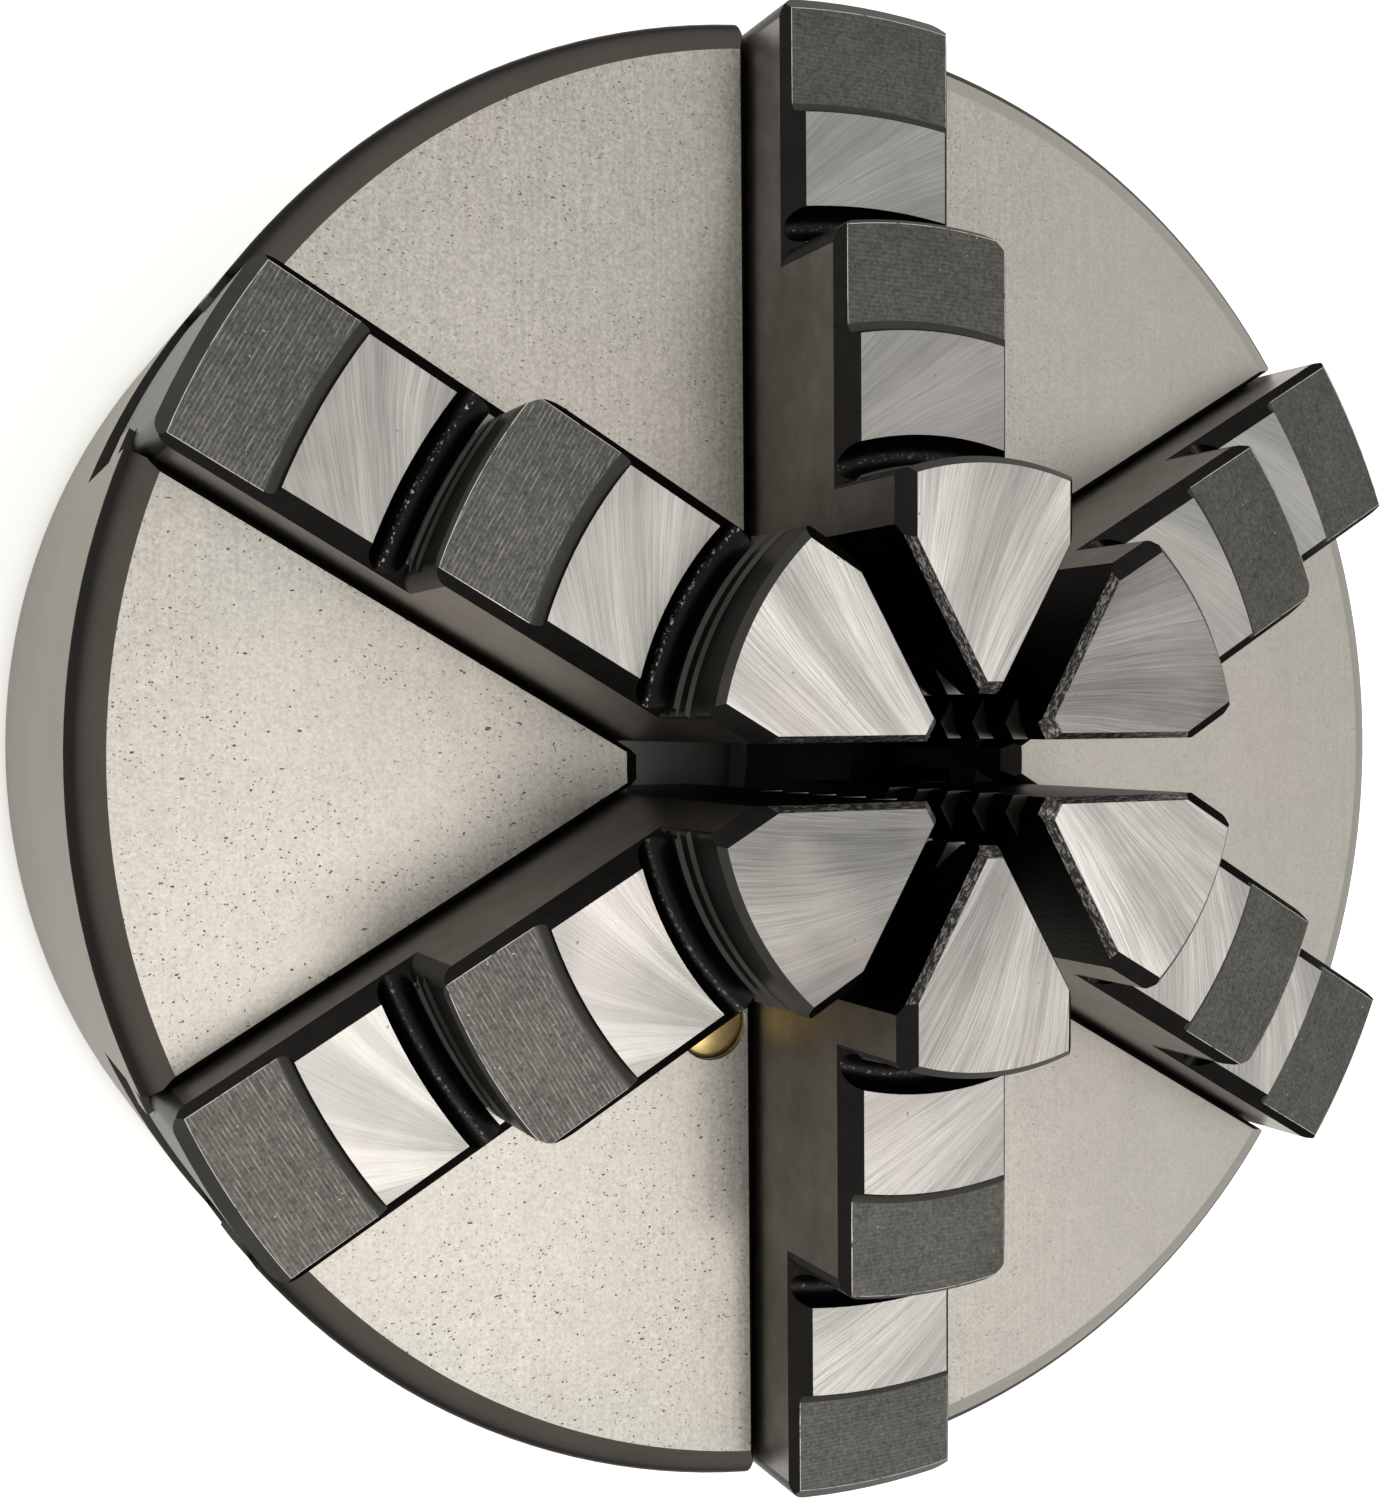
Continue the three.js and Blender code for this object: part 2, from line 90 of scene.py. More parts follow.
GAP = 0.3
TURN = 192  # facets of a full turn
BODY = dict(bore=15, register=47.5, register_chamfer=0.5, cavity=46.9, hub=23, front_bore=18,
            bore_chamfer=1.4, face=59.8, back_edge=((1, 0), (0.3, 0.7), (0, 1.7)))
SHOULDER_DROP = 2.4
COVER = dict(back=4, front=9.2, boss=29)
SLOT = dict(half=8.15, tongue=5.95, tongue_low=48, tongue_high=52.5, edge=0.45)
SCROLL = dict(outer=46.5, inner=23.4, hub=33.7, hub_back=25.4, floor=33.8, top=38.2, pitch=8, thread=3.2,
              start=20, lip=0.4)
PLATE_BACK = SCROLL["top"] + GAP
GEAR = dict(teeth=48, pinion_teeth=9, outer=44, inner=34, axis=19.8, angle=25, backlash=0.36,
            addendum=1, dedendum=2.4, pinion_addendum=1.9, pinion_dedendum=1.45)
PINION_PITCH = GEAR["outer"] * GEAR["pinion_teeth"] / GEAR["teeth"]
PINION_OUTER = PINION_PITCH + GEAR["pinion_addendum"]
TOOTH_WIDTH = math.pi * GEAR["outer"] / GEAR["teeth"] - GEAR["backlash"]
PINION = dict(shank=44.4, end=61.3, journal=3.5, journal_end=18.4, groove=(52.2, 55.8), groove_radius=8.1,
              socket=8.2, socket_depth=14, lip=0.4, end_chamfer=0.8, mouth=1.1, flare=0.7)
BOLT = dict(circle=54, drill=3.5, crest=3.95, depth=16, pitch=1.25, thread=0.6, chamfer=0.6)
RETAINER = dict(circle=54, radius=3, dog=1.5, back=0.6, shoulder=8.6, tip=11.3, pitch=1, thread=0.45,
                chamfer=0.4, slot=1, slot_depth=1.3)
COVER_SCREW = dict(circle=19.4, head=3.5, shank=2, tip=18, cone=1.7, pitch=0.7, thread=0.35, sunk=0.25,
                   key=2.5, key_depth=1.4)
PLUG_LOW, PLUG_HIGH = box_mm("oil_plug")
PLUG = dict(middle=(PLUG_LOW + PLUG_HIGH) / 2, radius=(PLUG_HIGH.x - PLUG_LOW.x) / 2, dome=0.45, fit=0.04,
            chamfer=0.12)
JAW = dict(half=7.85, nose=5.7, nose_half=0.75, nose_angle=30, neck=5.65, end=61.9, tooth_tip=34.1,
           tooth_gap=0.35, closing=4, opening=14, side_break=(0.5, 0.8), tip_break=(0.9, 1.1), worn=0.2)
# Steps of a jaw from the nose outwards. The rim is where the top meets the outward wall, wall is the size of
# the chamfer there, and the corners are the radii between the wall and the crisper and the rounder side.
STEPS = [
    dict(rim=22.66, top=JAW_TOP, land_half=6.7, slope=1.35, wall=0.55, corners=(0.5, 0.5)),
    dict(rim=42.08, top=74.4, land_half=6.48, slope=1.9, wall=0.3, corners=(1.7, 3.3), pad=33.8, drop=0.9),
    dict(rim=60.95, top=65.6, land_half=6.48, slope=1.9, wall=1.0, corners=(1.7, 1.9), pad=52.6, drop=1.0),
]
COVE = dict(outer=3.2, inner=0.45, depth=1.7, deepest=1.75)
NOSE_GROOVE = dict(first=77.5, pitch=4.8, count=5, size=2, reach=4)
# The bead and reliefs on the two inner steps' walls: outwards from the wall, up from its foot, and zone.
WALL_FOOT = 8
WALL_BEAD = [(0, 0, "band"), (0.2, 0.5, "band"), (0.2, 0.75, "band"), (-0.15, 1, "cove"),
             (-0.15, 1.2, "band"), (0.02, 1.4, "band"), (0.02, 2.5, "band"), (-0.2, 2.9, "band"),
             (-0.2, 4.1, "band"), (0, 4.5, "band")]
# Which side of each jaw has the rounder corners, how much painted light or shade makes its ground tops
# brighter or darker than plain ground steel, and where the lines on its lands fan out from.
ROUNDER_SIDE = (-1, -1, -1, 1, 1, -1)
TIP_PAINTED_LIGHT = (1.2, 0.64, 1.2, 0.76, 0.44, 0.95)
LAND_PAINTED_LIGHT = (0.73, 0.88, 0.95, 0.82, 0.64, 0.89)
LAND_FAN = ((14, 20), (17, 19), (11, 20), (14, 19), (24.2, 8.4), (13, 20))
TIP_REACH = 22

# ---- Solids ----
# Each face carries a zone, and a zone becomes a finish when the piece is dressed.
ZONES = ["tip", "land", "pad", "wall", "edge", "cove", "band", "worn", "nose", "tooth",
         "face", "rim", "side", "inside", "thread"]
MARKS = [bpy.data.materials.new("zone_" + zone) for zone in ZONES]


def linked(name, data):
    made = bpy.data.objects.new(name, data)
    bpy.context.scene.collection.objects.link(made)
    return made


def solid(points, faces, zones):
    """A closed mesh from points in millimetres, with shared points merged and its faces turned outwards."""
    mesh = bpy.data.meshes.new("solid")
    mesh.from_pydata([Vector(point) * MM for point in points], [], faces)
    for mark in MARKS:
        mesh.materials.append(mark)
    for polygon, zone in zip(mesh.polygons, zones):
        polygon.material_index = ZONES.index(zone)
    work = bmesh.new()
    work.from_mesh(mesh)
    bmesh.ops.remove_doubles(work, verts=work.verts, dist=1e-7)
    bmesh.ops.recalc_face_normals(work, faces=work.faces)
    work.to_mesh(mesh)
    work.free()
    return linked("solid", mesh)


def polar(radius, degrees):
    angle = math.radians(degrees)
    return radius * math.cos(angle), radius * math.sin(angle)


def lathe(profile, segments=TURN):
    """A closed profile of (radius, height, zone of the stretch that follows), turned about Z."""
    count = len(profile)
    points, faces, zones = [], [], []
    for i in range(segments):
        for radius, height, _ in profile:
            points.append((*polar(radius, 360 * i / segments), height))
        here, after = i * count, (i + 1) % segments * count
        for k, (radius, _, zone) in enumerate(profile):
            following = (k + 1) % count
            if radius == profile[following][0] == 0:
                continue
            corners = [here + k, after + k, after + following, here + following]
            if radius == 0:
                corners.remove(after + k)
            if profile[following][0] == 0:
                corners.remove(after + following)
            faces.append(corners)
            zones.append(zone)
    return solid(points, faces, zones)


def ring(profile, zone="side"):
    """A closed profile of (radius, height), turned about Z, with one zone all over."""
    return lathe([(radius, height, zone) for radius, height in profile])


def swept(loops, zones, cap):
    """A closed solid through like loops of points; zones are those of a loop's sides."""
    count, spans = len(loops[0]), len(loops) - 1
    faces = [list(range(count)), list(range(spans * count, (spans + 1) * count))]
    for here in range(0, spans * count, count):
        for i in range(count):
            following = (i + 1) % count
            faces.append((here + i, here + following, here + count + following, here + count + i))
    return solid([point for loop in loops for point in loop], faces, [cap, cap, *zones * spans])


def loft(first, last, zones, cap):
    return swept([[*first], [*last]], zones, cap)


def along_x(outline, low, high, cap="wall"):
    """A bar along X from an outline of (y, z, zone of the side that follows)."""
    first, last = ([(x, y, z) for y, z, _ in outline] for x in (low, high))
    return loft(first, last, [zone for *_, zone in outline], cap)


def along_z(outline, low, high, cap="inside"):
    """A prism along Z from an outline of (x, y, zone of the side that follows)."""
    first, last = ([(x, y, z) for x, y, _ in outline] for z in (low, high))
    return loft(first, last, [zone for *_, zone in outline], cap)


def block(low, high, zone="inside"):
    corners = [(low[0], low[1]), (high[0], low[1]), (high[0], high[1]), (low[0], high[1])]
    return along_z([(x, y, zone) for x, y in corners], low[2], high[2], zone)


def both_sides(right):
    """A section's right side, from the foot up, with its mirror image."""
    return right + [(-y, z) for y, z in reversed(right)]


def spindle(stations, zone, segments=48):
    """A round bar about Z from (radius, height) stations."""
    stations = [(radius, height, zone) for radius, height in stations]
    return lathe([(0, stations[0][1], zone), *stations, (0, stations[-1][1], zone)], segments)


def hole_up(radius, chamfer, depth, segments=48):
    """What drills a hole up from the back face, with a chamfered mouth."""
    return spindle([(radius + 2, chamfer - 2), (radius, chamfer), (radius, depth)], "inside", segments)


def threaded(radius, depth, pitch, low, high, zone="thread"):
    """A round bar about Z with a helical V thread that fades out at its ends."""
    around, per_pitch = 32, 6
    rows = round((high - low) / pitch * per_pitch)
    loops = []
    for row in range(rows + 1):
        height = low + (high - low) * row / rows
        fade = min(1, (height - low) / pitch, (high - height) / pitch)
        loop = []
        for i in range(around):
            phase = (height / pitch - i / around) % 1
            groove = 1 - abs(2 * phase - 1)
            loop.append((*polar(radius - depth * fade * groove, 360 * i / around), height))
        loops.append(loop)
    return swept(loops, [zone] * around, zone)


def moved(piece, matrix):
    piece.data.transform(matrix)
    return piece


def shifted(piece, x, y, z=0):
    return moved(piece, Matrix.Translation(Vector((x, y, z)) * MM))


def turned_to(piece, degrees):
    return moved(piece, Matrix.Rotation(math.radians(degrees), 4, "Z"))


def radial(piece):
    """Lays a bar about Z along +X, at the pinions' height."""
    lay = Matrix.Translation((0, 0, GEAR["axis"] * MM)) @ Matrix.Rotation(math.pi / 2, 4, "Y")
    return moved(piece, lay)


def combine(piece, operation, tools):
    for tool in tools:
        modifier = piece.modifiers.new(operation, "BOOLEAN")
        modifier.operation = operation
        modifier.solver = "MANIFOLD"
        modifier.object = tool
    graph = bpy.context.evaluated_depsgraph_get()
    result = bpy.data.meshes.new_from_object(piece.evaluated_get(graph))
    piece.modifiers.clear()
    piece.data = result
    for tool in tools:
        bpy.data.objects.remove(tool)
    return piece


def cut(piece, *tools):
    return combine(piece, "DIFFERENCE", tools)


def join(piece, *tools):
    return combine(piece, "UNION", tools)


def bevel(piece, width, wanted, zone):
    """Rounds the edges whose two zones wanted accepts, and puts the new faces in a zone."""
    work = bmesh.new()
    work.from_mesh(piece.data)
    chosen = []
    for edge in work.edges:
        pair = {ZONES[face.material_index] for face in edge.link_faces}
        if len(edge.link_faces) == 2 and edge.calc_face_angle(0) >= math.radians(20) and wanted(pair):
            chosen.append(edge)
    bmesh.ops.bevel(work, geom=chosen, offset=width * MM, offset_type="OFFSET", segments=2, profile=0.5,
                    affect="EDGES", clamp_overlap=True, material=ZONES.index(zone))
    work.to_mesh(piece.data)
    work.free()


# ---- Body ----
def shoulder():
    """Convex rim between the side and the face: part of a quarter turn, fitted between the two."""
    count, first, last = 10, 8, 70
    turns = [math.radians(first + (last - first) * i / count) for i in range(count + 1)]
    points = []
    for turn in turns[:-1]:
        across = (math.cos(turns[0]) - math.cos(turn)) / (math.cos(turns[0]) - math.cos(turns[-1]))
        up = (math.sin(turn) - math.sin(turns[0])) / (math.sin(turns[-1]) - math.sin(turns[0]))
        points.append((RADIUS - (RADIUS - BODY["face"]) * across, HEIGHT - SHOULDER_DROP * (1 - up), "rim"))
    return points


def slot_cutter():
    half, tongue, edge = SLOT["half"], SLOT["tongue"], SLOT["edge"]
    right = [(half, SCROLL["floor"]), (half, SLOT["tongue_low"]), (tongue, SLOT["tongue_low"]),
             (tongue, SLOT["tongue_high"]), (half, SLOT["tongue_high"]), (half, HEIGHT - edge),
             (half + edge + 1, HEIGHT + 1)]
    return along_x([(y, z, "inside") for y, z in both_sides(right)], 0, RADIUS + 5, "inside")


def make_body():
    b = BODY
    body = lathe([
        (b["bore"], COVER["front"] + GAP, "inside"),
        (b["hub"], COVER["front"] + GAP, "inside"),
        (b["hub"], PLATE_BACK, "inside"),
        (b["cavity"], PLATE_BACK, "inside"),
        (b["cavity"], COVER["front"] + GAP, "inside"),
        (b["register"], COVER["front"] + GAP, "side"),
        (b["register"], b["register_chamfer"], "side"),
        (b["register"] + b["register_chamfer"], 0, "side"),
        *[(RADIUS - inset, rise, "side") for inset, rise in b["back_edge"]],
        *shoulder(),
        (b["face"], HEIGHT, "face"),
        (b["front_bore"] + b["bore_chamfer"], HEIGHT, "inside"),
        (b["front_bore"], HEIGHT - b["bore_chamfer"], "inside"),
        (b["front_bore"], SCROLL["floor"], "inside"),
        (b["bore"], SCROLL["floor"], "inside"),
    ])
    tools = [turned_to(slot_cutter(), bearing(jaw)) for jaw in JAWS]
    p = PINION
    bore, journal = PINION_OUTER + GAP, p["journal"] + GAP
    mouth = [(bore, b["cavity"] - 2), (bore, RADIUS - p["mouth"]), (bore + p["mouth"] + 2, RADIUS + 2)]
    bearing_hole = [(journal, p["journal_end"] - GAP), (journal, b["hub"] + 1)]
    for pinion in PINIONS:
        for hole in (spindle(mouth, "inside", 96), spindle(bearing_hole, "inside")):
            tools.append(turned_to(radial(hole), bearing(pinion)))
    body = cut(body, *tools)
    tools = []
    r, bolt, screw = RETAINER, BOLT, COVER_SCREW
    for node in RETAINERS:
        place = polar(r["circle"], bearing(node))
        tools.append(shifted(hole_up(r["radius"] + GAP, r["chamfer"], r["shoulder"] + GAP), *place))
        dog = r["dog"] + GAP
        tools.append(shifted(spindle([(dog, 1), (dog, r["tip"] + 2)], "inside", 32), *place))
    for angle in BOLT_ANGLES:
        place = polar(bolt["circle"], angle)
        tools.append(shifted(hole_up(bolt["drill"], bolt["chamfer"], 2), *place))
        thread = threaded(bolt["crest"], bolt["thread"], bolt["pitch"], -1, bolt["depth"], "inside")
        tools.append(shifted(thread, *place))
    shank = screw["shank"] + GAP
    for node in COVER_SCREWS:
        hole = spindle([(shank, 5), (shank, screw["tip"] + GAP)], "inside", 32)
        tools.append(shifted(hole, *polar(screw["circle"], bearing(node))))
    size, chamfer = PLUG["radius"] + PLUG["fit"], PLUG["chamfer"]
    well = [(size, PLUG_LOW.z - GAP), (size, HEIGHT - chamfer), (size + chamfer + 1, HEIGHT + 1)]
    tools.append(shifted(spindle(well, "face", 64), *PLUG["middle"].xy))
    return cut(body, *tools)


# ---- Scroll plate and pinions ----
def spiral_radius(turns):
    return SCROLL["start"] + SCROLL["pitch"] * turns


def make_thread():
    """The spiral rib, clipped by the plate's own rings."""
    per_turn = 96
    count = math.ceil((SCROLL["outer"] + SCROLL["pitch"] - SCROLL["start"]) / SCROLL["pitch"] * per_turn)
    half = SCROLL["thread"] / 2
    lip = 0.35
    low, high = SCROLL["floor"] - 1, SCROLL["top"]
    section = both_sides([(half, low), (half, high - lip), (half - lip, high)])
    loops = []
    for i in range(count + 1):
        radius, turn = spiral_radius(i / per_turn), 360 * i / per_turn
        loops.append([(*polar(radius + across, turn), height) for across, height in section])
    rib = swept(loops, ["tooth"] * len(section), "tooth")
    inner, outer = SCROLL["inner"], SCROLL["outer"]
    plate = ring([(inner, low - 1), (outer, low - 1), (outer, high + 1), (inner, high + 1)])
    return combine(rib, "INTERSECT", [plate])


def gear_pitch_height(radius):
    return GEAR["axis"] + radius * GEAR["pinion_teeth"] / GEAR["teeth"]


def shrunk(section, radius):
    """A section drawn at the gear's outer radius, at another radius of the same cone."""
    scale = radius / GEAR["outer"]
    return [(radius, y * scale, GEAR["axis"] + (z - GEAR["axis"]) * scale) for y, z in section]


def gear_tooth(degrees):
    line = gear_pitch_height(GEAR["outer"])
    root = GEAR["dedendum"] + 0.8
    tip = -GEAR["addendum"]

    def half(height):
        return TOOTH_WIDTH / 2 + height * math.tan(math.radians(GEAR["angle"]))

    round_over = 0.25
    right = [(half(root), line + root), (half(tip + round_over), line + tip + round_over),
             (half(tip) - round_over, line + tip)]
    section = both_sides(right)
    sides = ["tooth"] * len(section)
    tooth = loft(shrunk(section, SCROLL["hub"] - 0.5), shrunk(section, GEAR["outer"]), sides, "tooth")
    return turned_to(tooth, degrees)


def make_scroll():
    s = SCROLL

    def root(radius):
        return gear_pitch_height(radius) + GEAR["dedendum"] * radius / GEAR["outer"]

    inner, outer, hub, back, lip = s["inner"], s["outer"], s["hub"], s["hub_back"], s["lip"]
    rim = root(GEAR["outer"])
    plate = ring([
        (inner, back + lip), (inner + lip, back), (hub - lip, back), (hub, back + lip), (hub, root(hub)),
        (GEAR["outer"], rim), (outer - lip, rim), (outer, rim + lip), (outer, s["floor"]),
        (inner, s["floor"])])
    teeth = [gear_tooth((i + 0.5) * 360 / GEAR["teeth"]) for i in range(GEAR["teeth"])]
    return join(plate, make_thread(), *teeth)


def pinion_section():
    """Involute teeth, with one tooth on +Z."""
    pitch = PINION_PITCH
    base = pitch * math.cos(math.radians(GEAR["angle"]))

    def involute(radius):
        angle = math.acos(min(1, base / radius))
        return math.tan(angle) - angle

    def half(radius):
        return TOOTH_WIDTH / (2 * pitch) + involute(pitch) - involute(max(radius, base))

    root, outer = pitch - GEAR["pinion_dedendum"], PINION_OUTER
    radii = [root, base] + [base + (outer - base) * i / 6 for i in range(1, 7)]
    section = []
    for i in range(GEAR["pinion_teeth"]):
        middle = math.pi / 2 + i * 2 * math.pi / GEAR["pinion_teeth"]
        flank = [(radius, -half(radius)) for radius in radii]
        for radius, turn in flank + [(radius, -turn) for radius, turn in reversed(flank)]:
            across, up = polar(radius, math.degrees(middle + turn))
            section.append((across, GEAR["axis"] + up))
    return section


def make_pinion(degrees):
    p = PINION
    section = pinion_section()
    outer = PINION_OUTER
    low, high = p["groove"]
    teeth = ["tooth"] * len(section)
    pinion = loft(shrunk(section, GEAR["inner"]), shrunk(section, p["shank"] + 0.2), teeth, "tooth")
    groove, lip, chamfer = p["groove_radius"], p["lip"], p["end_chamfer"]
    shank = [(outer - lip, p["shank"]), (outer, p["shank"] + lip), (outer, low - lip), (outer - lip, low),
             (groove, low), (groove, high), (outer - lip, high), (outer, high + lip),
             (outer, p["end"] - chamfer), (outer - chamfer, p["end"])]
    journal = [(p["journal"] - lip, p["journal_end"]), (p["journal"], p["journal_end"] + lip),
               (p["journal"], GEAR["inner"] + 1)]
    join(pinion, radial(spindle(shank, "side", 96)), radial(spindle(journal, "side")))
    half, axis = p["socket"] / 2, GEAR["axis"]
    socket = block((p["end"] - p["socket_depth"], -half, axis - half), (p["end"] + 1, half, axis + half))
    first, last = ([(p["end"] + out, y * (half + p["flare"] + out), axis + z * (half + p["flare"] + out))
                    for y, z in ((-1, -1), (1, -1), (1, 1), (-1, 1))] for out in (-p["flare"], 1))
    return turned_to(cut(pinion, socket, loft(first, last, ["inside"] * 4, "inside")), degrees)


# ---- Cover and small pieces ----
def make_cover():
    back, front, boss = COVER["back"], COVER["front"], COVER["boss"]
    inner, outer = BODY["bore"] + GAP, BODY["register"] - GAP
    top = SCROLL["hub_back"] - GAP
    cover = ring([
        (inner + 0.5, back), (outer - 0.5, back), (outer, back + 0.5), (outer, front), (boss, front),
        (boss, top - 0.5), (boss - 0.5, top), (BODY["hub"] + GAP, top), (BODY["hub"] + GAP, front),
        (inner, front), (inner, back + 0.5)])
    tools = []
    for pinion in PINIONS:
        size = PINION["journal"] + GAP
        hole = spindle([(size, BODY["hub"] - 1), (size, boss + 1)], "inside")
        tools.append(turned_to(radial(hole), bearing(pinion)))
    s = COVER_SCREW
    head, shank = s["head"] + GAP, s["shank"] + GAP
    for node in COVER_SCREWS:
        hole = [(head, back - 1), (head, back), (shank, back + s["cone"]), (shank, front + 1)]
        tools.append(shifted(spindle(hole, "inside"), *polar(s["circle"], bearing(node))))
    return cut(cover, *tools)


def make_cover_screw(degrees):
    s = COVER_SCREW
    back = COVER["back"] + s["sunk"]
    neck = back + s["cone"] + 0.6
    screw = spindle([(s["head"] - 0.2, back), (s["head"], back + 0.15), (s["shank"], back + s["cone"]),
                     (s["shank"], neck + 0.2)], "side")
    join(screw, threaded(s["shank"], s["thread"], s["pitch"], neck - 0.4, s["tip"]))
    across = s["key"] / math.sqrt(3)
    hexagon = [(*polar(across, 60 * i), "inside") for i in range(6)]
    cut(screw, along_z(hexagon, back - 1, back + s["key_depth"]),
        spindle([(across + 1.3, back - 1), (across - 0.25, back + 0.55)], "inside"))
    return shifted(turned_to(screw, degrees), *polar(s["circle"], degrees))


def make_retainer(degrees):
    r = RETAINER
    retainer = threaded(r["radius"], r["thread"], r["pitch"], r["back"], r["shoulder"])
    dog, tip, chamfer = r["dog"], r["tip"], 0.3
    end = [(dog, r["shoulder"] - 1), (dog, tip - chamfer), (dog - chamfer, tip)]
    join(retainer, spindle(end, "side", 32))
    cut(retainer, block((-5, -r["slot"] / 2, -1), (5, r["slot"] / 2, r["back"] + r["slot_depth"])))
    return shifted(retainer, *polar(r["circle"], degrees))


def make_oil_plug():
    radius = PLUG["radius"]
    turns = [math.radians(10 * i) for i in range(9)]
    dome = [(radius * math.cos(turn), PLUG_HIGH.z - PLUG["dome"] * (1 - math.sin(turn))) for turn in turns]
    return shifted(spindle([(radius, PLUG_LOW.z), *dome], "side", 64), *PLUG["middle"].xy)


# ---- Jaws, each along +X until it is put in its slot ----
def jaw_section(step):
    """Across a jaw: upright sides, and long chamfers that run on past the step's top."""
    half, land, top, slope = JAW["half"], step["land_half"], step["top"], step["slope"]
    above = 1
    run = (half - land) / slope * above
    right = [(half, PLATE_BACK), (half, top - slope), (land - run, top + above)]
    zones = ["wall", "edge", "edge", "edge", "wall", "wall"]
    return [(y, z, zone) for (y, z), zone in zip(both_sides(right), zones)]


def jaw_top(step):
    """Along a jaw: the outward wall with its bead, the chamfered rim, the pad and the ground land."""
    rim, top = step["rim"], step["top"]
    wall = rim + step["wall"]
    pad_top = top - step.get("drop", 0)
    profile = [(0, PLATE_BACK, "wall"), (wall, PLATE_BACK, "band")]
    if step is not STEPS[-1]:
        profile += [(wall + out, pad_top - WALL_FOOT + up, zone) for out, up, zone in WALL_BEAD]
    profile += [(wall, pad_top - step["wall"], "band"), (rim, pad_top, "pad" if "pad" in step else "tip")]
    if "pad" in step:
        profile += cove_up(step["pad"], pad_top, top)
    return lathe([*profile, (0, top, "land")])


def cove_up(radius, low, high):
    """The small cove that lifts a pad to the land behind it."""
    reach, rise, count = 0.9, 0.8 * (high - low), 6
    turns = [math.radians(90 * i / count) for i in range(count)]
    points = [(radius + reach * (1 - math.sin(turn)), low + rise * (1 - math.cos(turn))) for turn in turns]
    return [*[(*point, "band") for point in points], (radius, high, "land")]


def corner_cutter(step, side, reach):
    """What rounds one upright corner of a step's outward wall."""
    edge = JAW["half"]
    end = math.sqrt((step["rim"] + step["wall"]) ** 2 - (edge - reach) ** 2)
    arc = [polar(reach, 90 - 15 * i) for i in range(7)]
    outline = [(end - reach + x, edge - reach + y) for x, y in arc]
    outline += [(end + 2, edge - reach), (end + 2, edge + 1), (end - reach, edge + 1)]
    return along_z([(x, y * side, "band") for x, y in outline], PLATE_BACK - 1, step["top"] + 2, "band")


def cove_cutter(rim, land):
    """Round-bottomed relief at the foot of an outward wall."""
    inner, outer = rim + COVE["inner"], rim + COVE["outer"]
    middle, half = (outer + inner) / 2, (outer - inner) / 2
    count = 16
    turns = [math.pi * (1 + i / count) for i in range(count + 1)]
    points = [(middle + half * math.cos(turn), land + COVE["depth"] * math.sin(turn)) for turn in turns]
    return ring([*points, (outer, land + 1), (inner, land + 0.3)], "cove")


def edge_break(start, end, top, inset, drop, zone):
    """A wedge that breaks a top edge; the jaw lies to the left of the line from start to end."""
    start, end = Vector((*start, top)), Vector((*end, top))
    along = (end - start).normalized()
    inward = Vector((-along.y, along.x, 0))
    out, above = 2, 1
    section = [(inset, 0), (inset, above), (-out, above), (-out, -drop - drop / inset * out)]
    first = [start - along + inward * a + Vector((0, 0, b)) for a, b in section]
    last = [end + along + inward * a + Vector((0, 0, b)) for a, b in section]
    return loft(first, last, [zone] * 4, zone)


def jaw_tooth(middle):
    """A crescent tooth that stays clear of the spiral wherever the jaw stands."""
    slope = SCROLL["pitch"] / (2 * math.pi)
    half = (SCROLL["pitch"] - SCROLL["thread"]) / 2 - JAW["tooth_gap"]
    tightest = max(SCROLL["inner"], middle - JAW["closing"])
    flattest = max(tightest, min(SCROLL["outer"], middle + JAW["opening"]))
    count = 12
    stations = [JAW["half"] * (2 * i / count - 1) for i in range(count + 1)]
    outer = [(middle + half - (v * v / 2 + slope * abs(v)) / tightest, v, "tooth") for v in stations]
    bow = [max(0, v * v / 2 - slope * abs(v)) / flattest for v in stations]
    inner = [(middle - half - b, v, "tooth") for b, v in zip(bow, stations)]
    return along_z([*reversed(inner), *outer], JAW["tooth_tip"], PLATE_BACK + 1, "tooth")


def tooth_middles(degrees):
    """Places of the teeth along a jaw, between the turns of the spiral."""
    middle = spiral_radius(degrees % 360 / 360) - SCROLL["pitch"] / 2
    places = []
    while middle <= JAW["end"] - 4:
        if middle > JAW["nose"] + 6:
            places.append(middle)
        middle += SCROLL["pitch"]
    return places


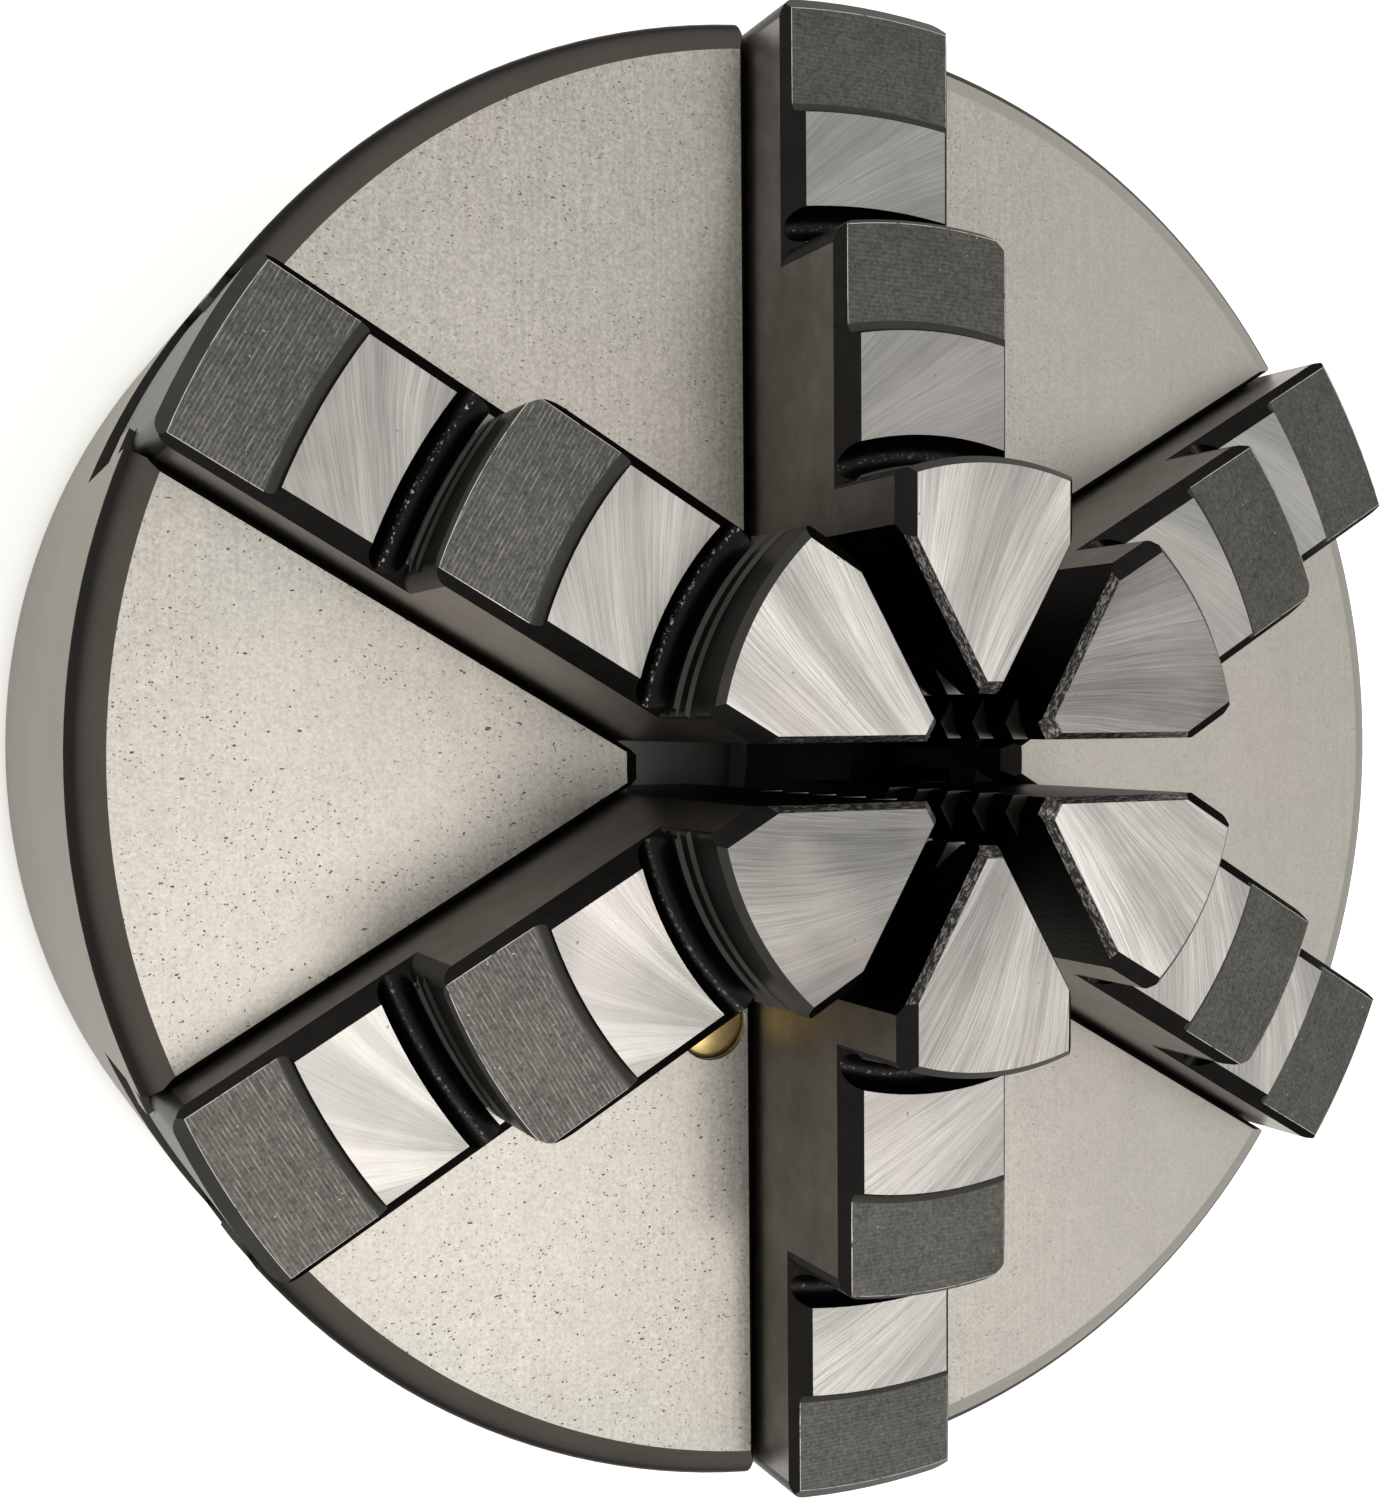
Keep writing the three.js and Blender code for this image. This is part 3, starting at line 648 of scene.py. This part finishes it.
def make_jaw(degrees, rounder):
    j = JAW
    half, nose, narrow = j["half"], j["nose"], j["nose_half"]
    levels = []
    for step in STEPS:
        bar = along_x(jaw_section(step), 0, j["end"] + 3)
        combine(bar, "INTERSECT", [jaw_top(step)])
        crisp, rounded = step["corners"]
        cut(bar, corner_cutter(step, -rounder, crisp), corner_cutter(step, rounder, rounded))
        levels.append(bar)
    jaw = join(*levels, *[jaw_tooth(middle) for middle in tooth_middles(degrees)])
    shoulder_x = nose + (half - narrow) / math.tan(math.radians(j["nose_angle"]))
    beyond = j["end"] + 4
    plan = [(nose, -narrow), (shoulder_x, -half), (beyond, -half), (beyond, half), (shoulder_x, half),
            (nose, narrow)]
    outline = []
    for (x, y), side in zip(plan, ["cove", "wall", "wall", "wall", "cove", "cove"]):
        clear = math.copysign(0.001, y) if abs(y) == half else 0
        outline.append((x, y + clear, side))
    combine(jaw, "INTERSECT", [along_z(outline, j["tooth_tip"] - 1, JAW_TOP + 1)])

    low, high = SLOT["tongue_low"] - GAP, SLOT["tongue_high"] + GAP
    tools = [cove_cutter(STEPS[i]["rim"], STEPS[i + 1]["top"]) for i in range(2)]
    for right, left in ((j["neck"], half + 1), (-half - 1, -j["neck"])):
        tools.append(block((0, right, low), (beyond, left, high), "wall"))
    for start, end, size in ((0, 1, "side_break"), (4, 5, "side_break"), (5, 0, "tip_break")):
        tools.append(edge_break(plan[start], plan[end], JAW_TOP, *j[size], "nose"))
    g = NOSE_GROOVE
    for i in range(g["count"]):
        ledge = g["first"] - i * g["pitch"]
        groove = [(nose + g["size"], ledge), (nose - 1, ledge), (nose - 1, ledge + g["size"] + 1)]
        first, last = ([(x, y, z) for x, z in groove] for y in (-g["reach"], g["reach"]))
        tools.append(loft(first, last, ["wall"] * 3, "wall"))
    return cut(jaw, *tools)


# ---- Finishes ----
class Finish:
    """A metal whose nodes are added one call at a time, in millimetres of the piece's own space."""

    def __init__(self, name, colour, roughness, metallic=1.0, anisotropic=0.0, edge=1.0):
        self.material = bpy.data.materials.new(name)
        self.material.use_nodes = True
        self.tree = self.material.node_tree
        self.shader = self.tree.nodes["Principled BSDF"]
        self.shader.inputs["Metallic"].default_value = metallic
        self.shader.inputs["Anisotropic"].default_value = anisotropic
        self.shader.inputs["Specular Tint"].default_value = (edge, edge, edge, 1)
        self.colour = (*colour, 1)
        self.roughness = roughness
        self.height = None
        place = self.add("ShaderNodeTexCoord").outputs["Object"]
        self.place = self.vector("MULTIPLY", place, (1 / MM, 1 / MM, 1 / MM))
        self.x, self.y, self.z = self.wired("ShaderNodeSeparateXYZ", [self.place]).outputs

    def add(self, kind, **settings):
        node = self.tree.nodes.new(kind)
        for key, setting in settings.items():
            setattr(node, key, setting)
        return node

    def link(self, source, target):
        if hasattr(source, "is_output"):
            self.tree.links.new(source, target)
        else:
            target.default_value = source

    def wired(self, kind, sources, **settings):
        """A new node whose first inputs come from the sources."""
        node = self.add(kind, **settings)
        for source, target in zip(sources, node.inputs):
            self.link(source, target)
        return node

    def math(self, operation, *inputs, clamp=False):
        return self.wired("ShaderNodeMath", inputs, operation=operation, use_clamp=clamp).outputs[0]

    def vector(self, operation, *inputs):
        return self.wired("ShaderNodeVectorMath", inputs, operation=operation).outputs["Vector"]

    def combine(self, *parts):
        return self.wired("ShaderNodeCombineXYZ", parts).outputs[0]

    def scaled(self, parts, scales):
        return self.vector("MULTIPLY", self.combine(*parts), scales)

    def noise(self, vector, scale=1.0, detail=3.0, rough=0.55, seed=0.0):
        node = self.add("ShaderNodeTexNoise", noise_dimensions="4D")
        self.link(vector, node.inputs["Vector"])
        for key, number in (("W", seed), ("Scale", scale), ("Detail", detail), ("Roughness", rough)):
            node.inputs[key].default_value = number
        return node.outputs["Fac"]

    def ramp(self, source, low, high, to_low=0.0, to_high=1.0):
        node = self.add("ShaderNodeMapRange", interpolation_type="SMOOTHSTEP")
        for key, number in (("Value", source), ("From Min", low), ("From Max", high),
                            ("To Min", to_low), ("To Max", to_high)):
            self.link(number, node.inputs[key])
        return node.outputs["Result"]

    def blend(self, factor, colour, kind):
        node = self.add("ShaderNodeMix", data_type="RGBA", blend_type=kind)
        self.link(factor, node.inputs[0])
        self.link(self.colour, node.inputs[6])
        self.link(colour, node.inputs[7])
        self.colour = node.outputs[2]
        return self

    def tint(self, factor, colour):
        """Lays a colour over what is there, by a factor."""
        return self.blend(factor, (*colour, 1), "MIX")

    def shade(self, factor, low, high):
        """Multiplies the colour by a grey that goes from low to high with a factor."""
        return self.blend(1.0, self.ramp(factor, 0.0, 1.0, low, high), "MULTIPLY")

    def rough(self, factor, amount):
        """Adds to the roughness in step with a factor."""
        self.roughness = self.math("ADD", self.roughness, self.math("MULTIPLY", factor, amount), clamp=True)
        return self

    def raise_by(self, factor, amount):
        """Adds a relief, in millimetres."""
        step = self.math("MULTIPLY", factor, amount)
        self.height = step if self.height is None else self.math("ADD", self.height, step)
        return self

    def work(self, pattern, dark, bright, rough, relief):
        """Lets a pattern of tool marks shade the colour, vary the roughness and raise the surface."""
        return self.shade(pattern, dark, bright).rough(pattern, rough).raise_by(pattern, relief)

    def done(self):
        self.link(self.colour, self.shader.inputs["Base Color"])
        self.link(self.roughness, self.shader.inputs["Roughness"])
        if self.height is not None:
            bump = self.add("ShaderNodeBump")
            bump.inputs["Strength"].default_value = 1.0
            bump.inputs["Distance"].default_value = MM
            self.link(self.height, bump.inputs["Height"])
            self.link(bump.outputs[0], self.shader.inputs["Normal"])
        return self.material

    # Patterns
    def mottle(self, scale, low, high, seed=0.0):
        return self.shade(self.noise(self.place, scale, 4.0, 0.6, seed), low, high)

    def lines(self, across, along, pitch, seed=0.0, stretch=0.02):
        """Fine lines that run along one coordinate and follow one another along the other."""
        place = self.scaled((across, along, 0.0), (1 / pitch, stretch / pitch, 1.0))
        return self.noise(place, 1.0, 4.0, 0.65, seed)

    def rings(self, pitch, seed=2.0, middle=(0, 0)):
        """Turning lines round an upright axis."""
        radius, arc = self.about(*middle)
        return self.lines(self.math("ADD", self.z, radius), arc, pitch, seed)

    def about(self, x, y):
        """Distance and arc length round an upright line at (x, y)."""
        shift = self.vector("SUBTRACT", self.combine(self.x, self.y, 0.0), (x, y, 0.0))
        radius = self.wired("ShaderNodeVectorMath", [shift], operation="LENGTH").outputs["Value"]
        along, across, _ = self.wired("ShaderNodeSeparateXYZ", [shift]).outputs
        return radius, self.math("MULTIPLY", self.math("ARCTAN2", across, along), radius)

    def specks(self, scale, size, colour, amount, seed=0.0, share=0.44, clusters=0.0):
        """Scattered pits or marks, of a size between 0 and 1 in cells of 1 / scale millimetres."""
        node = self.add("ShaderNodeTexVoronoi", feature="F1")
        wobble = self.combine(self.noise(self.place, 2.3, 2.0, 0.5, seed), 10 * seed, 0.0)
        self.link(self.vector("ADD", self.place, wobble), node.inputs["Vector"])
        node.inputs["Scale"].default_value = scale
        spot = self.ramp(node.outputs["Distance"], size * 0.5, size, 1.0, 0.0)
        chosen = self.noise(self.place, scale * 0.7, 1.0, 0.5, seed + 7)
        chance = self.math("GREATER_THAN", chosen, 1 - share)
        factor = self.math("MULTIPLY", self.math("MULTIPLY", spot, chance), amount)
        if clusters:
            crowd = self.ramp(self.noise(self.place, clusters, 2.0, 0.5, seed + 9), 0.38, 0.52)
            factor = self.math("MULTIPLY", factor, crowd)
        self.tint(factor, colour)
        return factor


def ground_face():
    """Surface-ground cast face: pale warm grey, with fine specks, pits and short scratches."""
    f = Finish("ground_face", (0.378, 0.357, 0.325), 0.34)

    def fade(near, far):
        """From one value on the -X side to another on the +X side, where there is less grain."""
        return f.ramp(f.x, -5, 35, near, far)

    f.mottle(0.05, 0.93, 1.06, 1.0)
    f.mottle(0.35, 0.95, 1.05, 2.0)
    f.tint(f.ramp(f.noise(f.place, 0.045, 2.0, 0.5, 3.0), 0.5, 0.7, 0.0, 0.35), (0.33, 0.345, 0.31))
    f.tint(f.ramp(f.noise(f.place, 0.06, 2.0, 0.5, 9.0), 0.52, 0.72, 0.0, 0.3), (0.385, 0.335, 0.315))
    grain = f.noise(f.place, 3.6, 5.0, 0.7, 4.0)
    f.work(grain, fade(0.5, 0.8), fade(1.5, 1.2), 0.16, 0.008)
    hatch = f.lines(f.x, f.y, 0.4, 5.0, 0.03)
    f.work(hatch, fade(0.84, 0.94), fade(1.16, 1.06), 0.08, 0.003)
    pitted, pit = fade(0.9, 0.25), (0.05, 0.046, 0.04)
    pits = f.specks(0.42, 0.062, pit, 0.8, 6.0, 0.42)
    crowd = f.specks(1.35, 0.14, pit, pitted, 8.0, 0.55, 0.08)
    fine = f.specks(2.3, 0.18, (0.07, 0.065, 0.055), pitted, 11.0, 0.6, 0.11)
    f.specks(1.9, 0.13, (0.10, 0.092, 0.084), pitted, 13.0, 0.52)
    return f.raise_by(pits, -0.05).raise_by(crowd, -0.03).raise_by(fine, -0.015).done()


def turned_side():
    """Turned side: smooth olive grey, with faint stains and turning lines."""
    f = Finish("turned_side", (0.257, 0.237, 0.192), 0.29, edge=0.57)
    f.mottle(0.06, 0.80, 1.18, 1.0)
    oily = f.math("MULTIPLY", f.ramp(f.y, 0, 45), f.ramp(f.noise(f.place, 0.07, 2.0, 0.5, 4.0), 0.30, 0.55))
    f.tint(oily, (0.260, 0.260, 0.172))
    f.tint(f.ramp(f.noise(f.place, 0.05, 2.0, 0.5, 8.0), 0.45, 0.62, 0.0, 0.6), (0.264, 0.231, 0.200))
    f.work(f.rings(0.22), 0.94, 1.06, 0.10, 0.003)
    f.specks(0.6, 0.12, (0.12, 0.11, 0.09), 0.5, 3.0, 0.36)
    return f.done()


def dark_rim():
    """Shoulder: near black by the side, brown grey by the face, and lighter by the face towards +X, as a
    painted reflection.
    """
    f = Finish("dark_rim", (0.016, 0.015, 0.0135), 0.30, edge=0.5)
    rise = f.ramp(f.z, HEIGHT - SHOULDER_DROP, HEIGHT)
    f.tint(f.ramp(rise, 0.38, 1.0), (0.082, 0.072, 0.063))
    f.mottle(0.12, 0.85, 1.12, 2.0)
    # Painted reflection: the shoulder is lighter by the face towards +X.
    painted_reflection = f.math("MULTIPLY", f.ramp(f.x, -4, 12), f.ramp(rise, 0.74, 0.84))
    f.tint(painted_reflection, (0.34, 0.33, 0.30))
    radius, arc = f.about(0, 0)
    return f.work(f.lines(radius, arc, 0.16, 3.0), 0.88, 1.12, 0.1, 0.004).done()


def machined_inside():
    """Slots and bores: milled, oily and dark."""
    f = Finish("machined_inside", (0.045, 0.042, 0.036), 0.36)
    f.mottle(0.3, 0.7, 1.25, 1.0)
    cuts = f.lines(f.z, f.math("ADD", f.x, f.y), 0.4, 2.0, 0.05)
    return f.work(cuts, 0.85, 1.15, 0.12, 0.006).done()


def ground_steel(f, middle, reach, seed, depth):
    """Cup-ground steel: fine lines that fan out from a middle and catch the light in wedges."""
    wander = f.math("MULTIPLY", f.noise(f.place, 0.15, 1.0, 0.5, seed), 0.03)
    radius, arc = f.about(*middle)
    bend = f.math("MULTIPLY", radius, 0.005)
    turned = f.math("ADD", f.math("DIVIDE", arc, radius), f.math("ADD", bend, wander))
    across = f.math("MULTIPLY", turned, reach)
    fine = f.lines(across, radius, 0.13, seed + 0.3)
    coarse = f.lines(across, radius, 0.34, seed + 0.6, 0.03)
    wedge = f.noise(f.combine(turned, 0.0, 0.0), 5.0, 1.0, 0.5, seed + 1.3)
    f.shade(f.ramp(wedge, 0.35, 0.65), 1 - 0.25 * depth, 1 + 0.28 * depth)
    f.work(fine, 1 - 0.65 * depth, 1 + 0.65 * depth, 0.18, 0.012)
    f.work(coarse, 1 - 0.3 * depth, 1 + 0.3 * depth, 0.08, 0.010)
    f.mottle(0.25, 0.92, 1.08, seed + 4.0)
    f.tint(f.ramp(f.noise(f.place, 0.08, 2.0, 0.5, seed + 6.0), 0.5, 0.7, 0.0, 0.25), (0.42, 0.36, 0.35))
    f.raise_by(f.specks(0.9, 0.10, (0.08, 0.075, 0.07), 0.7, seed + 5.0, 0.4), -0.01)
    away = f.vector("SUBTRACT", f.combine(f.x, f.y, 0.0), (*middle, 0.0))
    turn = f.add("ShaderNodeVectorTransform", vector_type="VECTOR", convert_from="OBJECT", convert_to="WORLD")
    f.link(f.vector("CROSS_PRODUCT", away, (0.0, 0.0, 1.0)), turn.inputs[0])
    f.link(f.vector("NORMALIZE", turn.outputs[0]), f.shader.inputs["Tangent"])
    return f.done()


# A jaw's ground steel, made brighter or darker by a factor of painted light or shade.
def bright_steel(name, painted_tone):
    return Finish(name, [painted_tone * part for part in (0.36, 0.352, 0.333)], 0.20, anisotropic=0.3)


def jaw_tip(seed, painted_tone):
    f = bright_steel(f"jaw_tip_{seed}", painted_tone)
    return ground_steel(f, (-5 - seed % 2, 5 + seed % 3), TIP_REACH, seed + 0.5, 0.85)


def jaw_land(seed, painted_tone):
    """Both lands are ground alike, so the outer one repeats the middle one's lines."""
    f = bright_steel(f"jaw_land_{seed}", painted_tone)
    outer = f.math("GREATER_THAN", f.x, (STEPS[1]["pad"] + STEPS[2]["pad"]) / 2)
    f.x = f.math("SUBTRACT", f.x, f.math("MULTIPLY", outer, STEPS[2]["pad"] - STEPS[1]["pad"]))
    fan = LAND_FAN[seed - 1]
    reach = math.hypot((STEPS[0]["rim"] + COVE["outer"] + STEPS[1]["pad"]) / 2 - fan[0], fan[1])
    return ground_steel(f, fan, reach, seed, 0.45 if seed < 3 else 0.65)


def jaw_pad(seed):
    """Milled pad under black oxide: fine ridges across the jaw, with bright crests on some jaws."""
    rubbed = 0.5 if seed > 4 else 0.10
    f = Finish(f"jaw_pad_{seed}", (0.072, 0.070, 0.063), 0.40)
    wander = f.math("MULTIPLY", f.noise(f.place, 0.3, 2.0, 0.5, seed), 0.12)
    wave = f.math("MULTIPLY", f.math("ADD", f.x, wander), 2 * math.pi / 0.34)
    ridge = f.math("MULTIPLY", f.math("ADD", f.math("SINE", wave), 1.0), 0.5)
    broken = f.noise(f.scaled((f.x, f.y, 0.0), (3.0, 0.7, 1.0)), 1.0, 4.0, 0.7, seed + 1)
    crest = f.math("MULTIPLY", f.ramp(ridge, 0.45, 1.0), f.ramp(broken, 0.42, 0.66))
    f.mottle(0.18, 0.8, 1.25, seed + 3.0)
    f.mottle(3.6, 0.3, 1.7, seed + 4.0)
    f.tint(f.math("MULTIPLY", crest, rubbed), (0.30, 0.29, 0.27))
    f.rough(broken, 0.12)
    f.specks(1.3, 0.10, (0.5, 0.48, 0.46), 0.6, seed + 6.0)
    f.raise_by(ridge, 0.006 + 0.012 * rubbed).raise_by(broken, 0.008)
    return f.done()


def jaw_wall(seed):
    """Upright sides of a jaw: ground, then blackened to a dark brown grey."""
    f = Finish(f"jaw_wall_{seed}", (0.178, 0.163, 0.146), 0.30)
    f.mottle(0.10, 0.5, 1.5, seed + 1.0)
    f.mottle(0.6, 0.75, 1.25, seed + 2.0)
    f.work(f.lines(f.z, f.x, 0.18, seed + 3.0, 0.03), 0.88, 1.12, 0.12, 0.004)
    f.specks(0.7, 0.07, (0.4, 0.38, 0.36), 0.5, seed + 5.0)
    return f.done()


def dark_steel(name, colour, roughness, seed, edge, relief):
    """Blackened steel with turning or milling lines round the spindle."""
    f = Finish(name, colour, roughness, edge=edge)
    f.work(f.rings(0.25, seed), 0.78, 1.22, 0.15, relief)
    f.mottle(0.4, 0.8, 1.2, seed + 1.0)
    return f.done()


def cove_steel(seed):
    """Black cove, whose rough floor glints here and there, most of all on the last jaw."""
    f = Finish(f"jaw_cove_{seed}", (0.014, 0.0135, 0.013), 0.30)
    radius, arc = f.about(0, 0)
    chips = f.noise(f.scaled((radius, arc, f.z), (3.0, 2.2, 1.0)), 1.0, 3.0, 0.7, 2.0)
    near = 0.0
    for step in STEPS[:2]:
        off = f.math("ABSOLUTE", f.math("SUBTRACT", radius, step["rim"] + COVE["deepest"]))
        near = f.math("ADD", near, f.ramp(off, 0.05, 0.3, 1.0, 0.0))
    glint = f.math("MULTIPLY", near, f.ramp(chips, 0.54, 0.62, 0.0, 1.0 if seed == len(JAWS) else 0.2))
    f.tint(glint, (0.40, 0.39, 0.375)).rough(chips, 0.1)
    f.raise_by(chips, 0.03)
    return f.done()


def nose_steel():
    """Hand-broken nose edges: dark, with bright draw-filed scratches."""
    f = Finish("nose_edge", (0.05, 0.047, 0.043), 0.28)
    scratch = f.noise(f.vector("MULTIPLY", f.place, (1.6, 1.6, 5.0)), 1.0, 5.0, 0.75, 3.0)
    f.tint(f.ramp(scratch, 0.49, 0.60, 0.0, 0.9), (0.42, 0.40, 0.38)).rough(scratch, 0.1)
    f.raise_by(scratch, 0.08)
    return f.done()


def worn_edge():
    f = Finish("worn_edge", (0.60, 0.585, 0.555), 0.26)
    rub = f.noise(f.place, 0.9, 4.0, 0.7, 2.0)
    f.tint(f.ramp(rub, 0.32, 0.50, 1.0, 0.0), (0.09, 0.085, 0.08)).rough(rub, 0.1)
    f.raise_by(rub, 0.02)
    return f.done()


def hardened_steel():
    f = Finish("hardened_steel", (0.21, 0.202, 0.19), 0.30)
    f.mottle(0.15, 0.8, 1.15, 1.0)
    f.tint(f.ramp(f.noise(f.place, 0.1, 3.0, 0.5, 5.0), 0.5, 0.75, 0.0, 0.35), (0.21, 0.175, 0.14))
    return f.work(f.noise(f.place, 2.5, 4.0, 0.6, 3.0), 0.88, 1.12, 0.15, 0.004).done()


def gear_flank():
    f = Finish("cut_flank", (0.25, 0.243, 0.23), 0.28)
    f.work(f.lines(f.z, f.math("ADD", f.x, f.y), 0.2, 3.0, 0.05), 0.85, 1.12, 0.15, 0.005)
    return f.mottle(0.3, 0.85, 1.1, 4.0).done()


def turned_cover():
    f = Finish("turned_cover", (0.33, 0.32, 0.298), 0.28, anisotropic=0.3)
    f.work(f.rings(0.2), 0.86, 1.14, 0.14, 0.006)
    return f.mottle(0.08, 0.88, 1.1, 3.0).done()


def black_oxide():
    f = Finish("black_oxide", (0.045, 0.045, 0.048), 0.32)
    return f.work(f.noise(f.place, 2.0, 4.0, 0.6, 2.0), 0.8, 1.3, 0.15, 0.005).done()


def turned_brass():
    f = Finish("turned_brass", (0.70, 0.54, 0.24), 0.26)
    f.work(f.rings(0.14, middle=PLUG["middle"].xy), 0.85, 1.12, 0.12, 0.004)
    return f.mottle(0.7, 0.75, 1.12, 4.0).done()


def floor_paper():
    """A pale floor with painted light: it glows round the chuck, and is dark under it."""
    f = Finish("floor_paper", (0.93, 0.93, 0.92), 0.85, metallic=0.0)
    f.mottle(0.02, 0.985, 1.01, 1.0).rough(f.noise(f.place, 0.5), 0.05)
    radius, _ = f.about(0, 0)
    f.shader.inputs["Emission Color"].default_value = (1.0, 0.99, 0.98, 1)
    # Painted light: the floor glows round the chuck and not under it.
    f.link(f.ramp(radius, RADIUS - 3, RADIUS + 2, 0.0, 0.35), f.shader.inputs["Emission Strength"])
    return f.done()


# ---- Assembly ----
def dress(piece, finishes, node, sharp=24):
    """Names a piece, gives each zone its material and crisp borders, and puts it on its node's body."""
    mesh = piece.data
    zones = [ZONES[polygon.material_index] for polygon in mesh.polygons]
    used = sorted(set(zones))
    mesh.materials.clear()
    for zone in used:
        mesh.materials.append(finishes.get(zone, finishes["rest"]))
    for polygon, zone in zip(mesh.polygons, zones):
        polygon.material_index = used.index(zone)
        polygon.use_smooth = True
    mesh.set_sharp_from_angle(angle=math.radians(sharp))
    beside = {}
    for polygon in mesh.polygons:
        for key in polygon.edge_keys:
            beside.setdefault(key, set()).add(polygon.material_index)
    for edge in mesh.edges:
        if len(beside.get(edge.key, ())) > 1:
            edge.use_edge_sharp = True
    piece.name = mesh.name = "finished_" + node
    body = next(name for name, members in frame["record"]["behaviour"]["bodies"].items() if node in members)
    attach(piece, body)
    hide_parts(node)


def build():
    inside, flank = machined_inside(), gear_flank()
    hardened, screw = hardened_steel(), black_oxide()
    finishes = dict(face=ground_face(), rim=dark_rim(), side=turned_side(), rest=inside)
    dress(make_body(), finishes, "chuck_body", 14)
    dress(make_scroll(), dict(tooth=flank, rest=hardened), "scroll_plate", 20)
    dress(make_cover(), dict(side=turned_cover(), rest=inside), "back_cover")
    dress(make_oil_plug(), dict(rest=turned_brass()), "oil_plug")
    for node in COVER_SCREWS:
        dress(make_cover_screw(bearing(node)), dict(rest=screw), node)
    for node in RETAINERS:
        dress(make_retainer(bearing(node)), dict(rest=screw), node)
    for node in PINIONS:
        dress(make_pinion(bearing(node)), dict(tooth=flank, inside=inside, rest=hardened), node)
    shared = dict(edge=dark_steel("jaw_edge", (0.016, 0.015, 0.014), 0.32, 1.0, 0.35, 0.006),
                  band=dark_steel("jaw_band", (0.044, 0.042, 0.038), 0.28, 2.0, 0.7, 0.01),
                  worn=worn_edge(), nose=nose_steel(), tooth=flank)
    for seed, node in enumerate(JAWS, 1):
        angle = bearing(node)
        jaw = make_jaw(angle, ROUNDER_SIDE[seed - 1])
        bevel(jaw, JAW["worn"], lambda pair: "pad" in pair and pair & {"edge", "band"}, "worn")
        own = dict(tip=jaw_tip(seed, TIP_PAINTED_LIGHT[seed - 1]), land=jaw_land(seed, LAND_PAINTED_LIGHT[seed - 1]),
                   pad=jaw_pad(seed), wall=jaw_wall(seed), cove=cove_steel(seed), rest=hardened)
        jaw.matrix_world = Matrix.Rotation(math.radians(angle), 4, "Z")
        dress(jaw, {**shared, **own}, node, 20)
    for mark in MARKS:
        bpy.data.materials.remove(mark)


# ---- Stage ----
def make_floor():
    half = 1.5
    mesh = bpy.data.meshes.new("floor")
    corners = [(-half, -half, 0), (half, -half, 0), (half, half, 0), (-half, half, 0)]
    mesh.from_pydata(corners, [], [(0, 1, 2, 3)])
    mesh.materials.append(floor_paper())
    floor = linked("floor", mesh)
    floor.location.z = -0.0002
    floor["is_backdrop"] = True


def make_light():
    """A white room, and one large soft lamp over the chuck."""
    world = bpy.data.worlds.new("studio")
    bpy.context.scene.world = world
    world.use_nodes = True
    background = world.node_tree.nodes["Background"]
    background.inputs["Color"].default_value = (1.0, 0.99, 0.97, 1)
    background.inputs["Strength"].default_value = 1.0
    light = bpy.data.lights.new("key", "AREA")
    light.shape, light.size, light.energy, light.color = "DISK", 0.5, 2.9, (1.0, 0.98, 0.94)
    lamp = linked("key", light)
    lamp.location = (0.18, -0.20, 1.02)
    lamp.rotation_euler = (Vector((0, 0, 0.06)) - lamp.location).to_track_quat("-Z", "Y").to_euler()


def make_camera():
    """The photographed view: from over the -X side, with the long side of the image along Y."""
    camera = bpy.data.cameras.new("camera")
    camera.sensor_width = 36
    camera.lens = 44.41
    camera.shift_x, camera.shift_y = -0.0519, 0.0492
    camera.clip_start, camera.clip_end = 0.01, 20
    eye = linked("camera", camera)
    eye.location = Vector((-76.58, 4.188, 198.79)) * MM
    eye.rotation_euler = Euler((-0.05512, -0.46286, -0.00767), "XYZ")
    bpy.context.scene.camera = eye


make_camera()
make_floor()
make_light()
build()
bpy.context.scene.view_settings.view_transform = "Standard"

boxes = {"cad": CAD_BOX, "visual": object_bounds()}
{name: [list(corner) for corner in box] for name, box in boxes.items()}
